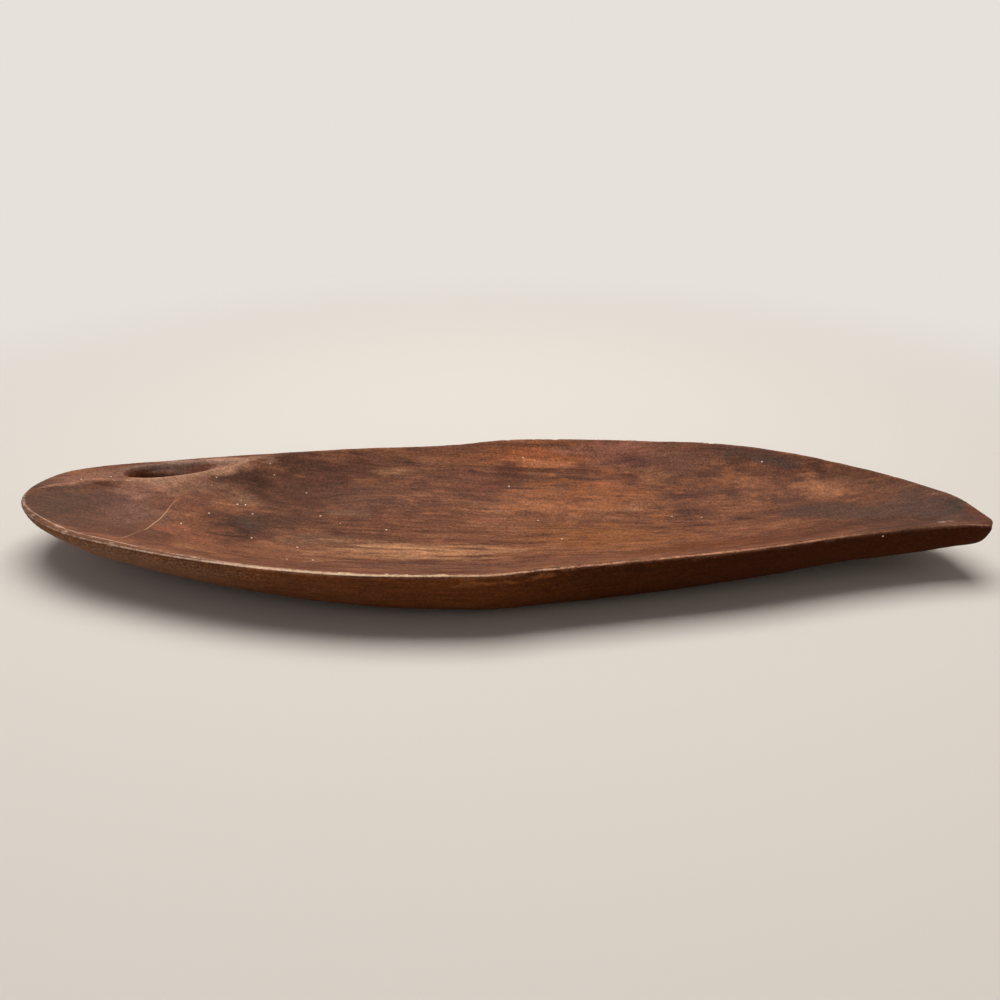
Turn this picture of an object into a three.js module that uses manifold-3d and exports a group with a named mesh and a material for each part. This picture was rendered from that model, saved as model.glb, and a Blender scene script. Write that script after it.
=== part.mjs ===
// A leaf-shaped tray carved out of one hardwood board: a shallow dish with a thin lip, a round butt end
// with a finger slot along its far edge, a pointed tip, and an underside that curves down to a flat base.
// It has no joints and no fixings, because the whole tray is a single piece of wood.
//
// Millimetres, +Z up. +X points along the tray to the pointed tip, the near side lies towards -Y, and the
// origin is the middle of the base: the centre of the tray's bounding box, on the surface it stands on.

import * as THREE from "three";
import { mergeVertices } from "three/addons/utils/BufferGeometryUtils.js";
import Module from "manifold-3d";

// Outline, seen from above. It is drawn from the butt end, at x = 0, about a long axis at y = 0.
const LENGTH = 699; // butt end to pointed tip
const NEAR_BULGE = 83; // long axis to the widest place of the near side
const FAR_BULGE = 118; // long axis to the widest place of the far side
const BUTT_OFFSET = 17; // the butt end's foremost point lies this far to the far side of the long axis
const TIP_OFFSET = 3; // and the pointed tip this far

// Rim
const RIM_HEIGHT = 45; // table to the lip
const FAR_SWELL = 5; // the far side's lip rises this much in its wider half
const SWELL_RISES = [0.4, 0.53]; // over these shares of LENGTH
const SWELL_FALLS = [0.8, 0.97];
const LIP_WIDTH = 2.6; // top of the lip along the sides
const BUTT_LIP_WIDTH = 4.2; // and round the butt end
const BUTT_LIP_SHARE = 0.35; // share of LENGTH over which the one turns into the other
const ARRIS = 1; // worn round of the lip's outer edge
const TIP_ARRIS = 3; // the same at the pointed tip
const TIP_LAND = 20; // the dish stops this far short of the pointed tip
const TIP_LAND_TURN = THREE.MathUtils.degToRad(147); // the way back into the dish from the tip, seen from above
const TIP_LAND_ROUND = 7; // the dish's corners beside that land are rounded over about this width

// Wood left between the dish and the underside
const FLOOR_THICKNESS = 13; // over the flat base
const BUTT_EDGE_THICKNESS = 12.5; // at the very edge of the butt end
const BUTT_THICKNESS = 20.5; // beside the finger slot, where the hand holds it
const TIP_THICKNESS = 21; // at the pointed tip
const BASE_DEPTH = 2.2; // planed off the belly to make the flat base

// Outer edge: a nearly upright band under the lip, which then rolls under into the belly
const BAND_BUTT = 8; // band's height at the butt end
const BAND_MIDDLE = 11; // at the middle of the tray
const BAND_TIP = 18; // at the pointed tip
const BAND_SLOT = 7; // further height beside the slot, so that the strip outside it is stout
const BAND_LEAN = 1.5; // the band's foot lies this far inside the lip
const NOSE_SWEEP = 2.5; // and this much further inside at the pointed tip
const NOSE_REACH = 15; // how far round the tip that sweep goes

// Finger slot: a teardrop between the dish and the far edge, with a ramp at its pointed end
const SLOT_FROM_BUTT = 54; // butt end to the slot's round end
const SLOT_LENGTH = 95; // round end to the end of the ramp
const SLOT_WIDTH = 19; // at its widest
const STRIP_WIDTH = 8.5; // wood left outside the slot
const CREST_WIDTH = 2.6; // wood left between the slot and the dish
const CREST_DROP = 1.4; // the crest lies this far below the lip
const CREST_RUNOUT = 42; // past the ramp, over this length, the broad lip narrows to a plain one
const RAMP_LENGTH = 46; // the part at the pointed end that ramps up to the surface and doesn't go through
const RAMP_DEPTH = 10; // depth of the ramp below the crest where it meets the hole
const RAMP_CURVE = 1.7; // above 1, the ramp runs out gently at its pointed end
const MOUTH_ROUND = 1.8; // worn round of the slot's mouth
const MOUTH_ROUND_DEPTH = 1.98; // it starts this far down the slot's wall
const WALL_LEAN = 1.4; // the slot is this much narrower on each side where it goes through

// Shapes without size: [share of LENGTH from the butt end, share of the side's bulge]
const NEAR_SIDE = [
  [0.0085, 0], [0.03, -0.2], [0.062, -0.385], [0.1, -0.535], [0.15, -0.665], [0.21, -0.8], [0.29, -0.93],
  [0.38, -1.0], [0.465, -0.985], [0.51, -0.955], [0.545, -0.88], [0.65, -0.69], [0.75, -0.5],
  [0.845, -0.27], [0.93, -0.095], [0.9665, -0.045], [0.9925, -0.016],
];
const FAR_SIDE = [
  [0.999, 0.07], [0.996, 0.135], [0.986, 0.31], [0.965, 0.455], [0.934, 0.6], [0.897, 0.705], [0.857, 0.81],
  [0.815, 0.89], [0.765, 0.965], [0.69, 0.99], [0.6, 1.0], [0.525, 0.98], [0.46, 0.94],
  [0.335, 0.87], [0.22, 0.745], [0.12, 0.62], [0.08, 0.565], [0.046, 0.508], [0.017, 0.415],
  [0.004, 0.29],
];
// Depth of the dish along its middle: [share of LENGTH, share of the full depth]
const DISH_DEPTH = [
  [0, 0], [0.065, 0.15], [0.1, 0.26], [0.136, 0.38], [0.172, 0.53], [0.208, 0.68], [0.25, 0.82],
  [0.316, 0.935], [0.416, 0.985], [0.5, 1], [0.647, 0.97], [0.733, 0.87], [0.805, 0.71],
  [0.862, 0.52], [0.92, 0.31], [0.948, 0.2], [0.97, 0.11], [1, 0],
];

// A higher power gives the dish and the belly a flatter middle and steeper sides
const DISH_FULLNESS = 2.4;
const BELLY_FULLNESS = [
  [0, 5.5], [0.25, 5.2], [0.36, 6.5], [0.42, 7.5], [0.58, 8.5], [0.72, 7], [0.85, 6.5], [1, 6],
];
// The finger slot's round end: where its foremost point lies across its width, and where its far side
// becomes straight
const SLOT_NOSE = 0.42;
const SLOT_SHOULDER = 0.22;
const HOLE_END_ROUND = 0.3; // share of the hole's length that is rounded off where it meets the ramp
// The slot's wall from its foot to its mouth: shares of the lean, of the ramp's depth and of the worn round
const WALL_MIDDLE_LEAN = 0.5;
const WALL_MIDDLE_DEPTH = 0.55;
const MOUTH_MIDDLE = 0.45;
const MOUTH_MIDDLE_DEPTH = 0.3;
const MOUTH_FLARE = 1.3; // the worn round's line carried on past the lip

// Where the cross lines of the surface meet along the middle of the tray, measured from each end
const MIDDLE_FROM_BUTT = 45;
const MIDDLE_FROM_TIP = 42;

// Cross lines that run at a slant to the lip: the least share of a width that they are taken to cover, and
// the share of a line that the lip and its band may take
const LEAST_SLANT = 0.55;
const MOST_OF_LINE = 0.8;
const LEAST_LAND_SLANT = 0.3;

// Fineness of the surface
const OUTLINE_SAMPLES = 1600;
const STATIONS = 46; // cross lines along the tray
const BUTT_POINTS = 18; // extra points round the butt end
const TIP_POINTS = 9; // extra points on each side of the pointed tip
const DISH_STEPS = [0.035, 0.08, 0.135, 0.2, 0.275, 0.36, 0.455, 0.56, 0.68, 0.83];
const BELLY_STEPS = [0.035, 0.08, 0.135, 0.2, 0.28, 0.38, 0.5, 0.66, 0.83];
const BAND_STEPS = [[0.3, 0.1], [0.65, 0.4], [1, 1]]; // [share of the band's height, share of its lean]
const ARRIS_CORNER = 0.3; // the arris's middle ring lies this share of its round in from both faces
const SLOT_STEPS = 20; // points along each side of the slot
const CLEAR = 5; // a cutter passes this far beyond what it cuts

const smooth = (from, to, x) => THREE.MathUtils.smoothstep(x, from, to);
const mix = THREE.MathUtils.lerp;

/** A smooth curve through [x, y] pairs, read as y of x. */
function profile(pairs) {
  const curve = new THREE.SplineCurve(pairs.map(([x, y]) => new THREE.Vector2(x, y)));
  const points = curve.getPoints(pairs.length * 20);
  return (x) => {
    const after = points.findIndex((p) => p.x >= x);
    if (after <= 0) return (after ? points.at(-1) : points[0]).y;
    const [a, b] = [points[after - 1], points[after]];
    return mix(a.y, b.y, (x - a.x) / (b.x - a.x));
  };
}

/** The lip's outer edge as a closed run of points, counter-clockwise from the butt end. */
function drawOutline() {
  const corners = [[0, BUTT_OFFSET]];
  for (const [along, out] of NEAR_SIDE) corners.push([along * LENGTH, out * NEAR_BULGE]);
  corners.push([LENGTH, TIP_OFFSET]);
  for (const [along, out] of FAR_SIDE) corners.push([along * LENGTH, out * FAR_BULGE]);
  const points = corners.map(([x, y]) => new THREE.Vector3(x, y, 0));
  return new THREE.CatmullRomCurve3(points, true, "centripetal").getSpacedPoints(OUTLINE_SAMPLES);
}

const outline = drawOutline();
const tipIndex = outline.reduce((best, p, i) => (p.x > outline[best].x ? i : best), 0);
const nearRun = outline.slice(0, tipIndex + 1);
const farRun = outline.slice(tipIndex).reverse();
const tip = outline[tipIndex];

/** A side's point at a distance x from the butt end. */
function sideAt(run, x) {
  const after = Math.max(1, run.findIndex((p, i) => i > 0 && p.x >= x));
  const [a, b] = [run[after - 1], run[after]];
  return a.clone().lerp(b, (x - a.x) / (b.x - a.x));
}

const middleStart = MIDDLE_FROM_BUTT;
const middleEnd = LENGTH - MIDDLE_FROM_TIP;
const middleX = (i) => mix(middleStart, middleEnd, i / STATIONS);

/** The middle of the tray at a distance x from the butt end, in plan. */
function middleAt(x) {
  return sideAt(nearRun, x).lerp(sideAt(farRun, x), 0.5);
}

/** Points of the run between two outline points, evenly spaced, without its ends. */
function between(run, count) {
  const curve = new THREE.CatmullRomCurve3(run, false, "centripetal");
  return curve.getSpacedPoints(count + 1).slice(1, -1);
}

/** Width of the lip where it has neither the slot nor the land at the tip. */
const plainLipWidth = (x) => mix(BUTT_LIP_WIDTH, LIP_WIDTH, smooth(0, BUTT_LIP_SHARE, x / LENGTH));

const slotEnd = SLOT_FROM_BUTT + SLOT_LENGTH;
const slotWidest = SLOT_FROM_BUTT + SLOT_LENGTH / 3;

/** Share of the slot's full width at a share u of its length: round at 0, widest at a third, pointed at 1. */
const teardrop = (u) => (3 * Math.sqrt(3 * u) * (1 - u)) / 2;

/** Width of the flat on the far lip: a plain lip, but broad enough beside the slot to hold it. */
function farLipWidth(x) {
  const start = Math.sin((Math.PI / 2) * THREE.MathUtils.clamp(x / slotWidest, 0, 1));
  const share = x < slotWidest ? start : teardrop(Math.min(1, (x - SLOT_FROM_BUTT) / SLOT_LENGTH));
  const merge = Math.min(start, 1 - smooth(slotEnd, slotEnd + CREST_RUNOUT, x));
  const plain = plainLipWidth(x);
  return plain + (STRIP_WIDTH + CREST_WIDTH - plain) * merge + SLOT_WIDTH * share;
}

/** Lip height at a point of the outline. */
function rimHeight(point) {
  const along = point.x / LENGTH;
  const swell = smooth(...SWELL_RISES, along) * (1 - smooth(...SWELL_FALLS, along));
  return RIM_HEIGHT + (point.y > 0 ? FAR_SWELL * swell : 0);
}

const dishShare = profile(DISH_DEPTH);
const floorHeight = (x) => RIM_HEIGHT - (RIM_HEIGHT - FLOOR_THICKNESS) * dishShare(x / LENGTH);
const middleThickness = FLOOR_THICKNESS + BASE_DEPTH;
const thicknessAt = profile([
  [0, BUTT_EDGE_THICKNESS], [0.06, mix(BUTT_EDGE_THICKNESS, BUTT_THICKNESS, 0.62)], [0.12, BUTT_THICKNESS],
  [0.19, mix(BUTT_THICKNESS, middleThickness, 0.37)], [0.3, middleThickness], [0.68, middleThickness],
  [0.84, mix(middleThickness, TIP_THICKNESS, 0.05)], [0.93, mix(middleThickness, TIP_THICKNESS, 0.48)],
  [1, TIP_THICKNESS],
]);
const bellyFullnessAt = profile(BELLY_FULLNESS);
const bandHeightAt = profile([[0, BAND_BUTT], [0.5, BAND_MIDDLE], [1, BAND_TIP]]);
const keelHeight = (x) => floorHeight(x) - thicknessAt(x / LENGTH);

/** The closed ring of places round the lip, each with the station on the middle line that it faces. */
function placesRoundTheLip() {
  const places = [];
  const add = (point, station) => {
    const middle = middleAt(middleX(station));
    const inward = middle.clone().sub(point);
    const run = inward.length();
    inward.normalize();
    places.push({ point, station, middle, inward, run, height: rimHeight(point) });
  };
  for (let i = 0; i <= STATIONS; i += 1) add(sideAt(nearRun, middleX(i)), i);
  const nearPart = [sideAt(nearRun, middleEnd), ...nearRun.filter((p) => p.x > middleEnd)];
  const farPart = [...farRun.filter((p) => p.x > middleEnd).reverse(), sideAt(farRun, middleEnd)];
  const roundTip = [...between(nearPart, TIP_POINTS), tip, ...between(farPart, TIP_POINTS)];
  for (const point of roundTip) add(point, STATIONS);
  for (let i = STATIONS; i >= 0; i -= 1) add(sideAt(farRun, middleX(i)), i);
  const roundButt = [
    sideAt(farRun, middleStart), ...farRun.filter((p) => p.x < middleStart).reverse(),
    ...nearRun.filter((p, i) => i > 0 && p.x < middleStart), sideAt(nearRun, middleStart),
  ];
  for (const point of between(roundButt, BUTT_POINTS)) add(point, 0);
  return places;
}

const places = placesRoundTheLip();

/** The inward normal of the outline at a place, from its two neighbours. */
function inwardNormal(index) {
  const before = places[(index + places.length - 1) % places.length].point;
  const after = places[(index + 1) % places.length].point;
  return new THREE.Vector3(before.y - after.y, after.x - before.x, 0).normalize();
}

/** How far along a place's cross line a width measured square to the outline reaches. */
function alongLine(index, width) {
  const slant = Math.max(LEAST_SLANT, inwardNormal(index).dot(places[index].inward));
  return Math.min(width / slant, places[index].run * MOST_OF_LINE);
}

const toTip = (place) => place.point.distanceTo(tip);

/** Whether a place lies on the far side of the tray's middle line. */
function isFar(place) {
  const x = THREE.MathUtils.clamp(place.point.x, middleStart, middleEnd);
  return place.point.y > middleAt(x).y;
}

/** How far along a place's cross line the lip reaches: past the far band, and past the land at the tip. */
function lipReach(place, index) {
  const band = alongLine(index, isFar(place) ? farLipWidth(place.point.x) : plainLipWidth(place.point.x));
  const back = new THREE.Vector3(Math.cos(TIP_LAND_TURN), Math.sin(TIP_LAND_TURN), 0);
  const stillToGo = TIP_LAND - place.point.clone().sub(tip).dot(back);
  const land = stillToGo / Math.max(LEAST_LAND_SLANT, place.inward.dot(back));
  return (band + land + Math.hypot(band - land, TIP_LAND_ROUND)) / 2;
}

/** How much a place's lip falls away towards the slot's crest. */
function crestDrop(place) {
  if (!isFar(place)) return 0;
  const extra = farLipWidth(place.point.x) - plainLipWidth(place.point.x);
  return (CREST_DROP * extra) / (STRIP_WIDTH + CREST_WIDTH + SLOT_WIDTH);
}

const pointOn = (place, distance, z) => place.point.clone().addScaledVector(place.inward, distance).setZ(z);

const nearTip = (place, reach) => Math.exp(-((toTip(place) / reach) ** 2));
const arris = (place) => mix(ARRIS, TIP_ARRIS, nearTip(place, NOSE_REACH));

/** The rings of the upper surface, from the lip's outer edge to the middle of the dish. */
function upperRings() {
  const rings = [
    places.map((place) => pointOn(place, 0, place.height - arris(place))),
    places.map((place, i) => {
      const corner = arris(place) * ARRIS_CORNER;
      return pointOn(place, alongLine(i, corner), place.height - corner);
    }),
    places.map((place, i) => pointOn(place, alongLine(i, arris(place)), place.height)),
  ];
  const lips = places.map(lipReach);
  rings.push(places.map((place, i) => pointOn(place, lips[i], place.height - crestDrop(place))));
  for (const t of DISH_STEPS) {
    rings.push(places.map((place, i) => {
      const point = pointOn(place, mix(lips[i], place.run, t), 0);
      return point.setZ(mix(floorHeight(point.x), place.height - crestDrop(place), (1 - t) ** DISH_FULLNESS));
    }));
  }
  return rings;
}

/** The rings of the outer band and the belly, from the lip's outer edge to the middle of the underside. */
function lowerRings() {
  const feet = places.map((place, i) => {
    const sweep = NOSE_SWEEP * nearTip(place, NOSE_REACH);
    const beside = isFar(place) ? farLipWidth(place.point.x) - plainLipWidth(place.point.x) : 0;
    const drop = bandHeightAt(place.point.x / LENGTH) + (BAND_SLOT * beside) / SLOT_WIDTH;
    return { in: alongLine(i, BAND_LEAN + sweep), z: place.height - drop };
  });
  const rings = BAND_STEPS.map(([share, lean]) => places.map((place, i) => {
    const top = place.height - arris(place);
    return pointOn(place, feet[i].in * lean, mix(top, feet[i].z, share));
  }));
  for (const t of BELLY_STEPS) {
    rings.push(places.map((place, i) => {
      const point = pointOn(place, mix(feet[i].in, place.run, t), 0);
      return point.setZ(mix(keelHeight(point.x), feet[i].z, (1 - t) ** bellyFullnessAt(point.x / LENGTH)));
    }));
  }
  return rings;
}

/** Joins the rings and the two middle lines into one closed surface. */
function joinSkin(upper, lower) {
  const vertices = [];
  const faces = [];
  const push = (points) => {
    const first = vertices.length / 3;
    for (const p of points) vertices.push(p.x, p.y, p.z);
    return first;
  };
  const count = places.length;
  const middleLine = (height) =>
    Array.from({ length: STATIONS + 1 }, (_, i) => middleAt(middleX(i)).setZ(height(middleX(i))));
  const cover = (starts, middle, facingUp) => {
    const triangle = (a, b, c) => faces.push(...(facingUp ? [a, b, c] : [a, c, b]));
    for (let k = 0; k < count; k += 1) {
      const next = (k + 1) % count;
      for (let r = 0; r + 1 < starts.length; r += 1) {
        const [outer, inner] = [starts[r], starts[r + 1]];
        triangle(outer + k, outer + next, inner + next);
        triangle(outer + k, inner + next, inner + k);
      }
      const last = starts.at(-1);
      const [here, there] = [middle + places[k].station, middle + places[next].station];
      triangle(last + k, last + next, there);
      if (here !== there) triangle(last + k, there, here);
    }
  };
  const upperStarts = upper.map(push);
  cover(upperStarts, push(middleLine(floorHeight)), true);
  cover([upperStarts[0], ...lower.map(push)], push(middleLine(keelHeight)), false);
  return new THREE.BufferGeometry()
    .setAttribute("position", new THREE.Float32BufferAttribute(vertices, 3))
    .setIndex(faces);
}

/** The slot's near and far sides at a share u of its length, as distances in from the outer edge. */
function slotSides(u) {
  const rounding = Math.sqrt(1 - (1 - Math.min(1, u / SLOT_SHOULDER)) ** 2);
  const far = STRIP_WIDTH + SLOT_WIDTH * SLOT_NOSE * (1 - rounding);
  const near = STRIP_WIDTH + SLOT_WIDTH * (u < 1 / 3 ? mix(SLOT_NOSE, 1, teardrop(u)) : teardrop(u));
  return [near, far];
}

/**
 * The slot's outline down to a share of its length, with its sides moved outwards by grow.
 * Each point is [x, y, its share of the slot's length]; the near side comes first, then the far side back.
 */
function slotOutline(grow, to) {
  const points = [];
  for (let i = 0; i < 2 * SLOT_STEPS; i += 1) {
    const s = (1 - Math.cos((Math.PI * i) / SLOT_STEPS)) / 2;
    const u = s * to;
    const x = SLOT_FROM_BUTT - grow + u * SLOT_LENGTH + 2 * grow * s;
    const [before, after] = [sideAt(farRun, x - SLOT_WIDTH / 4), sideAt(farRun, x + SLOT_WIDTH / 4)];
    const inward = new THREE.Vector2(after.y - before.y, before.x - after.x).normalize();
    const [near, far] = slotSides(u);
    const past = to < 1 ? Math.max(0, (s - 1 + HOLE_END_ROUND) / HOLE_END_ROUND) : 0;
    const half = ((near - far) / 2) * (1 + (2 * grow) / SLOT_WIDTH) * Math.sqrt(Math.max(0, 1 - past ** 2));
    const rim = sideAt(farRun, x);
    const point = new THREE.Vector2(rim.x, rim.y)
      .addScaledVector(inward, (near + far) / 2 + (i < SLOT_STEPS ? half : -half));
    points.push([point.x, point.y, u]);
  }
  return points;
}

/** A solid from outlines joined one above the other, each with a height that may vary along the slot. */
function joinOutlines(levels, to) {
  const count = 2 * SLOT_STEPS;
  const vertices = levels.flatMap(([grow, height]) =>
    slotOutline(grow, to).flatMap(([x, y, u]) => [x, y, height(u)]));
  const faces = [];
  const quad = (a, b, c, d) => {
    if (new Set([a, b, c]).size === 3) faces.push(a, b, c);
    if (new Set([a, c, d]).size === 3) faces.push(a, c, d);
  };
  for (let r = 0; r + 1 < levels.length; r += 1) {
    for (let k = 0; k < count; k += 1) {
      const next = (k + 1) % count;
      quad(r * count + k, r * count + next, (r + 1) * count + next, (r + 1) * count + k);
    }
  }
  const top = (levels.length - 1) * count;
  for (let k = 0; k < SLOT_STEPS; k += 1) {
    const [farHere, farNext] = [(count - k) % count, count - k - 1];
    quad(farHere, farNext, k + 1, k);
    quad(top + k, top + k + 1, top + farNext, top + farHere);
  }
  return new THREE.BufferGeometry()
    .setAttribute("position", new THREE.Float32BufferAttribute(vertices, 3))
    .setIndex(faces);
}

const crestHeight = RIM_HEIGHT - CREST_DROP;
const holeShare = 1 - RAMP_LENGTH / SLOT_LENGTH;

/** The solid that cuts the hole, from below the belly to above the lip. */
const holeCutter = () => joinOutlines([
  [-WALL_LEAN, () => -CLEAR],
  [-WALL_LEAN, () => crestHeight - RAMP_DEPTH],
  [-WALL_LEAN, () => RIM_HEIGHT + CLEAR],
], holeShare);

/** The solid that cuts the slot's rounded mouth and its ramp. */
function mouthCutter() {
  const ramp = (u) => RAMP_DEPTH * Math.min(1, (1 - u) / (1 - holeShare)) ** RAMP_CURVE;
  const level = (share, drop) => (u) => crestHeight - ramp(u) * share - drop * (1 - u);
  return joinOutlines([
    [-WALL_LEAN, level(1, 0)],
    [-WALL_LEAN * WALL_MIDDLE_LEAN, level(WALL_MIDDLE_DEPTH, 0)],
    [0, level(0, MOUTH_ROUND_DEPTH)],
    [MOUTH_ROUND * MOUTH_MIDDLE, level(0, MOUTH_ROUND * MOUTH_MIDDLE_DEPTH)],
    [MOUTH_ROUND * MOUTH_FLARE, () => RIM_HEIGHT + MOUTH_ROUND / 2],
  ], 1);
}

const wasm = await Module();
wasm.setup();

/** A closed geometry as a solid that can be cut. */
function toSolid(geometry) {
  const bare = geometry.clone();
  bare.deleteAttribute("normal");
  bare.deleteAttribute("uv");
  const merged = mergeVertices(bare, 1e-4);
  return new wasm.Manifold(new wasm.Mesh({
    numProp: 3,
    vertProperties: merged.attributes.position.array,
    triVerts: new Uint32Array(merged.index.array),
  }));
}

/** A cut solid as a geometry. */
function toGeometry(solid) {
  const mesh = solid.getMesh();
  const geometry = new THREE.BufferGeometry()
    .setAttribute("position", new THREE.BufferAttribute(new Float32Array(mesh.vertProperties), 3))
    .setIndex(new THREE.BufferAttribute(new Uint32Array(mesh.triVerts), 1));
  geometry.computeVertexNormals();
  geometry.computeBoundingBox();
  return geometry;
}

/** Everything below the flat base, as a block. */
function belowBase() {
  const depth = RIM_HEIGHT;
  return new THREE.BoxGeometry(LENGTH * 2, LENGTH * 2, depth).translate(LENGTH / 2, 0, -depth / 2);
}

const carved = toSolid(joinSkin(upperRings(), lowerRings()))
  .subtract(toSolid(belowBase()))
  .subtract(toSolid(holeCutter()))
  .subtract(toSolid(mouthCutter()));

const wood = new THREE.MeshStandardMaterial({ color: 0x6b4029, roughness: 0.55, metalness: 0 });
const tray = new THREE.Mesh(toGeometry(carved), wood);
tray.name = "tray";
const centre = tray.geometry.boundingBox.getCenter(new THREE.Vector3());
tray.position.set(-centre.x, -centre.y, 0);

const assembly = new THREE.Group();
assembly.name = "leaf_tray";
assembly.add(tray);

export default assembly;
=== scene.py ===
"""An old leaf-shaped wooden tray, carved from one board, on a pale studio floor.

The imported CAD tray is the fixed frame. Its surface is copied and remeshed fine enough to carve, then given
the marks of its maker's gouge and what years of use leave: a worn and nicked lip, a long scratch and specks
of paint. Sizes and places in the classes are in millimetres, and meshes are in metres.
"""

import logging
import math
import random
from dataclasses import dataclass, field
from enum import Enum
from typing import Any, Sequence

import bmesh
import bpy
import numpy as np
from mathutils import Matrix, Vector, noise
from mathutils.bvhtree import BVHTree
from mathutils.kdtree import KDTree


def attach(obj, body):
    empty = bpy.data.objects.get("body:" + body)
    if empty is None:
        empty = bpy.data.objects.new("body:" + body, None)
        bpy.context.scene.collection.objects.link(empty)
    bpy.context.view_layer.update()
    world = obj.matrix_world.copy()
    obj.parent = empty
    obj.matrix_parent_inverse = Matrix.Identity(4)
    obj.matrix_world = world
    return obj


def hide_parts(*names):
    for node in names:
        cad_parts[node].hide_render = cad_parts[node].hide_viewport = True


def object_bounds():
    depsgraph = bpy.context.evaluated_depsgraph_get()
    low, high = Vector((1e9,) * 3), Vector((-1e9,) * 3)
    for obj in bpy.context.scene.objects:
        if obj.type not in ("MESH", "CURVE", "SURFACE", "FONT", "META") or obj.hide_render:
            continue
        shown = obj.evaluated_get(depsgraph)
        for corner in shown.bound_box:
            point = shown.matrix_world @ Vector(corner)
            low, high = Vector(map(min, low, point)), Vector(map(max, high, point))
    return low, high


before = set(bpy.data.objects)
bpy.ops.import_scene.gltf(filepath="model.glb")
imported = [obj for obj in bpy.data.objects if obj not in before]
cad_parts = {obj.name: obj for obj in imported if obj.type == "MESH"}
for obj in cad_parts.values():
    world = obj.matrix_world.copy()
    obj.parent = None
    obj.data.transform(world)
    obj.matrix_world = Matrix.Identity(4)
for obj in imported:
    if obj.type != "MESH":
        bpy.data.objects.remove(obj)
cad_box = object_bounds()

log = logging.getLogger("tray")
MM = 0.001
Point = tuple[float, float, float]
Curve = tuple[tuple[float, float], ...]
Rgba = tuple[float, float, float, float]
Socket = bpy.types.NodeSocket


class Side(Enum):
    """The two long sides of the tray, seen from the camera."""

    NEAR = "near"
    FAR = "far"


class Mark(str, Enum):
    """Values kept on the tray's vertices, which its finish reads."""

    STAIN = "stain"  # colour of the stains
    STAINED = "stained"  # how far the wood takes that colour
    DUST_AND_SHEEN = "dust_and_sheen"  # pale dust, with a grey film that is partly painted sheen
    GLOSS = "gloss"  # how much smoother the surface is rubbed
    OUTSIDE = "outside"  # 1 on the outer band and the belly, 0 in the dish
    LIP_OUTER = "lip_outer"  # distance in from the outer line's middle, in halves of the line's width
    LIP_INNER = "lip_inner"  # millimetres in from the lip's inner edge
    LIP_SHINE = "lip_shine"  # how bright the outer edge's line is, worn wood with a painted highlight
    LIP_INNER_SHINE = "lip_inner_shine"  # how bright the one on the inner edge is
    LIP_BROKEN = "lip_broken"  # how far both are broken into dashes
    GRIME = "grime"  # how much dirt lies along the foot of the near lip
    WORN = "worn"  # up to 1 on an edge that hands and cloths have rubbed
    ROUGH = "rough"  # 1 where the outer band is left rough, near the rounded end
    SCRATCH = "scratch"  # millimetres across the long scratch, with a sign
    SCRATCH_RUN = "scratch_run"  # how bright the scratch is


Marks = dict[Mark, Socket]
Fields = dict[str, Socket]


def linear(code: str) -> Rgba:
    """Turns an sRGB hex colour into linear values.

    Args:
        code: The colour as six hex digits after a hash.

    Returns:
        Red, green, blue and an alpha of 1.
    """
    parts = [int(code[i : i + 2], 16) / 255 for i in (1, 3, 5)]
    red, green, blue = (c / 12.92 if c <= 0.04045 else ((c + 0.055) / 1.055) ** 2.4 for c in parts)
    return red, green, blue, 1.0


def per_mm(x: float, y: float, z: float) -> Point:
    """Gives the Mapping scale that draws a pattern of unit size at these sizes in Object coordinates."""
    return 1000 / x, 1000 / y, 1000 / z


def ease(low: float, high: float, values: np.ndarray) -> np.ndarray:
    """Takes each value smoothly from 0 at low to 1 at high, of which low may be the larger."""
    share = np.clip((values - low) / (high - low), 0, 1)
    return share * share * (3 - 2 * share)


def along_curve(at: np.ndarray, curve: Curve) -> np.ndarray:
    """Reads a curve at many places; between two of its points the value changes evenly."""
    places, values = zip(*curve)
    return np.interp(at, places, values)


def ripple(places: np.ndarray, period: Point, octaves: int = 1) -> np.ndarray:
    """Reads smooth noise at many places.

    Args:
        places: Points in millimetres, one row each.
        period: Size of the noise along each axis, in millimetres.
        octaves: How many layers it has, each finer than the one before.

    Returns:
        One value for each place, mostly between -1 and 1.
    """
    scaled = (places / np.array(period)).tolist()
    if octaves == 1:
        return np.array([noise.noise(p) for p in scaled])
    return np.array([noise.fractal(p, 0.7, 2.1, octaves) for p in scaled])


def beside_path(places: np.ndarray, path: Curve) -> tuple[np.ndarray, np.ndarray]:
    """Measures places against a line drawn on the tray, seen from above.

    Args:
        places: Points in millimetres, one row each.
        path: Points of the line.

    Returns:
        The distance across the line, with a sign, and how far along it that is: 0 at its first point, 1 at
        its second, and so on.
    """
    flat = places[:, :2]
    line = np.array(path)
    across = np.full(len(flat), 1e3)
    run = np.zeros(len(flat))
    for i, (a, b) in enumerate(zip(line, line[1:])):
        length = np.linalg.norm(b - a)
        way = (b - a) / length
        gap = flat - a
        s = np.clip(gap @ way, 0, length)
        beside = gap[:, 0] * way[1] - gap[:, 1] * way[0]
        distance = np.linalg.norm(gap - s[:, None] * way, axis=1)
        closer = distance < np.abs(across)
        across[closer] = np.where(beside < 0, -distance, distance)[closer]
        run[closer] = i + s[closer] / length
    return across, run


def select_only(piece: bpy.types.Object) -> None:
    """Selects one object and makes it the active one.

    Args:
        piece: The object.
    """
    bpy.ops.object.select_all(action="DESELECT")
    piece.select_set(True)
    bpy.context.view_layer.objects.active = piece


def apply_modifier(piece: bpy.types.Object, kind: str, **settings: Any) -> None:
    """Puts a modifier on a piece and applies it.

    Args:
        piece: The object.
        kind: The modifier's type.
        **settings: Its settings.
    """
    select_only(piece)
    modifier = piece.modifiers.new(kind.title(), kind)
    for name, value in settings.items():
        setattr(modifier, name, value)
    bpy.ops.object.modifier_apply(modifier=modifier.name)


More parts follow.
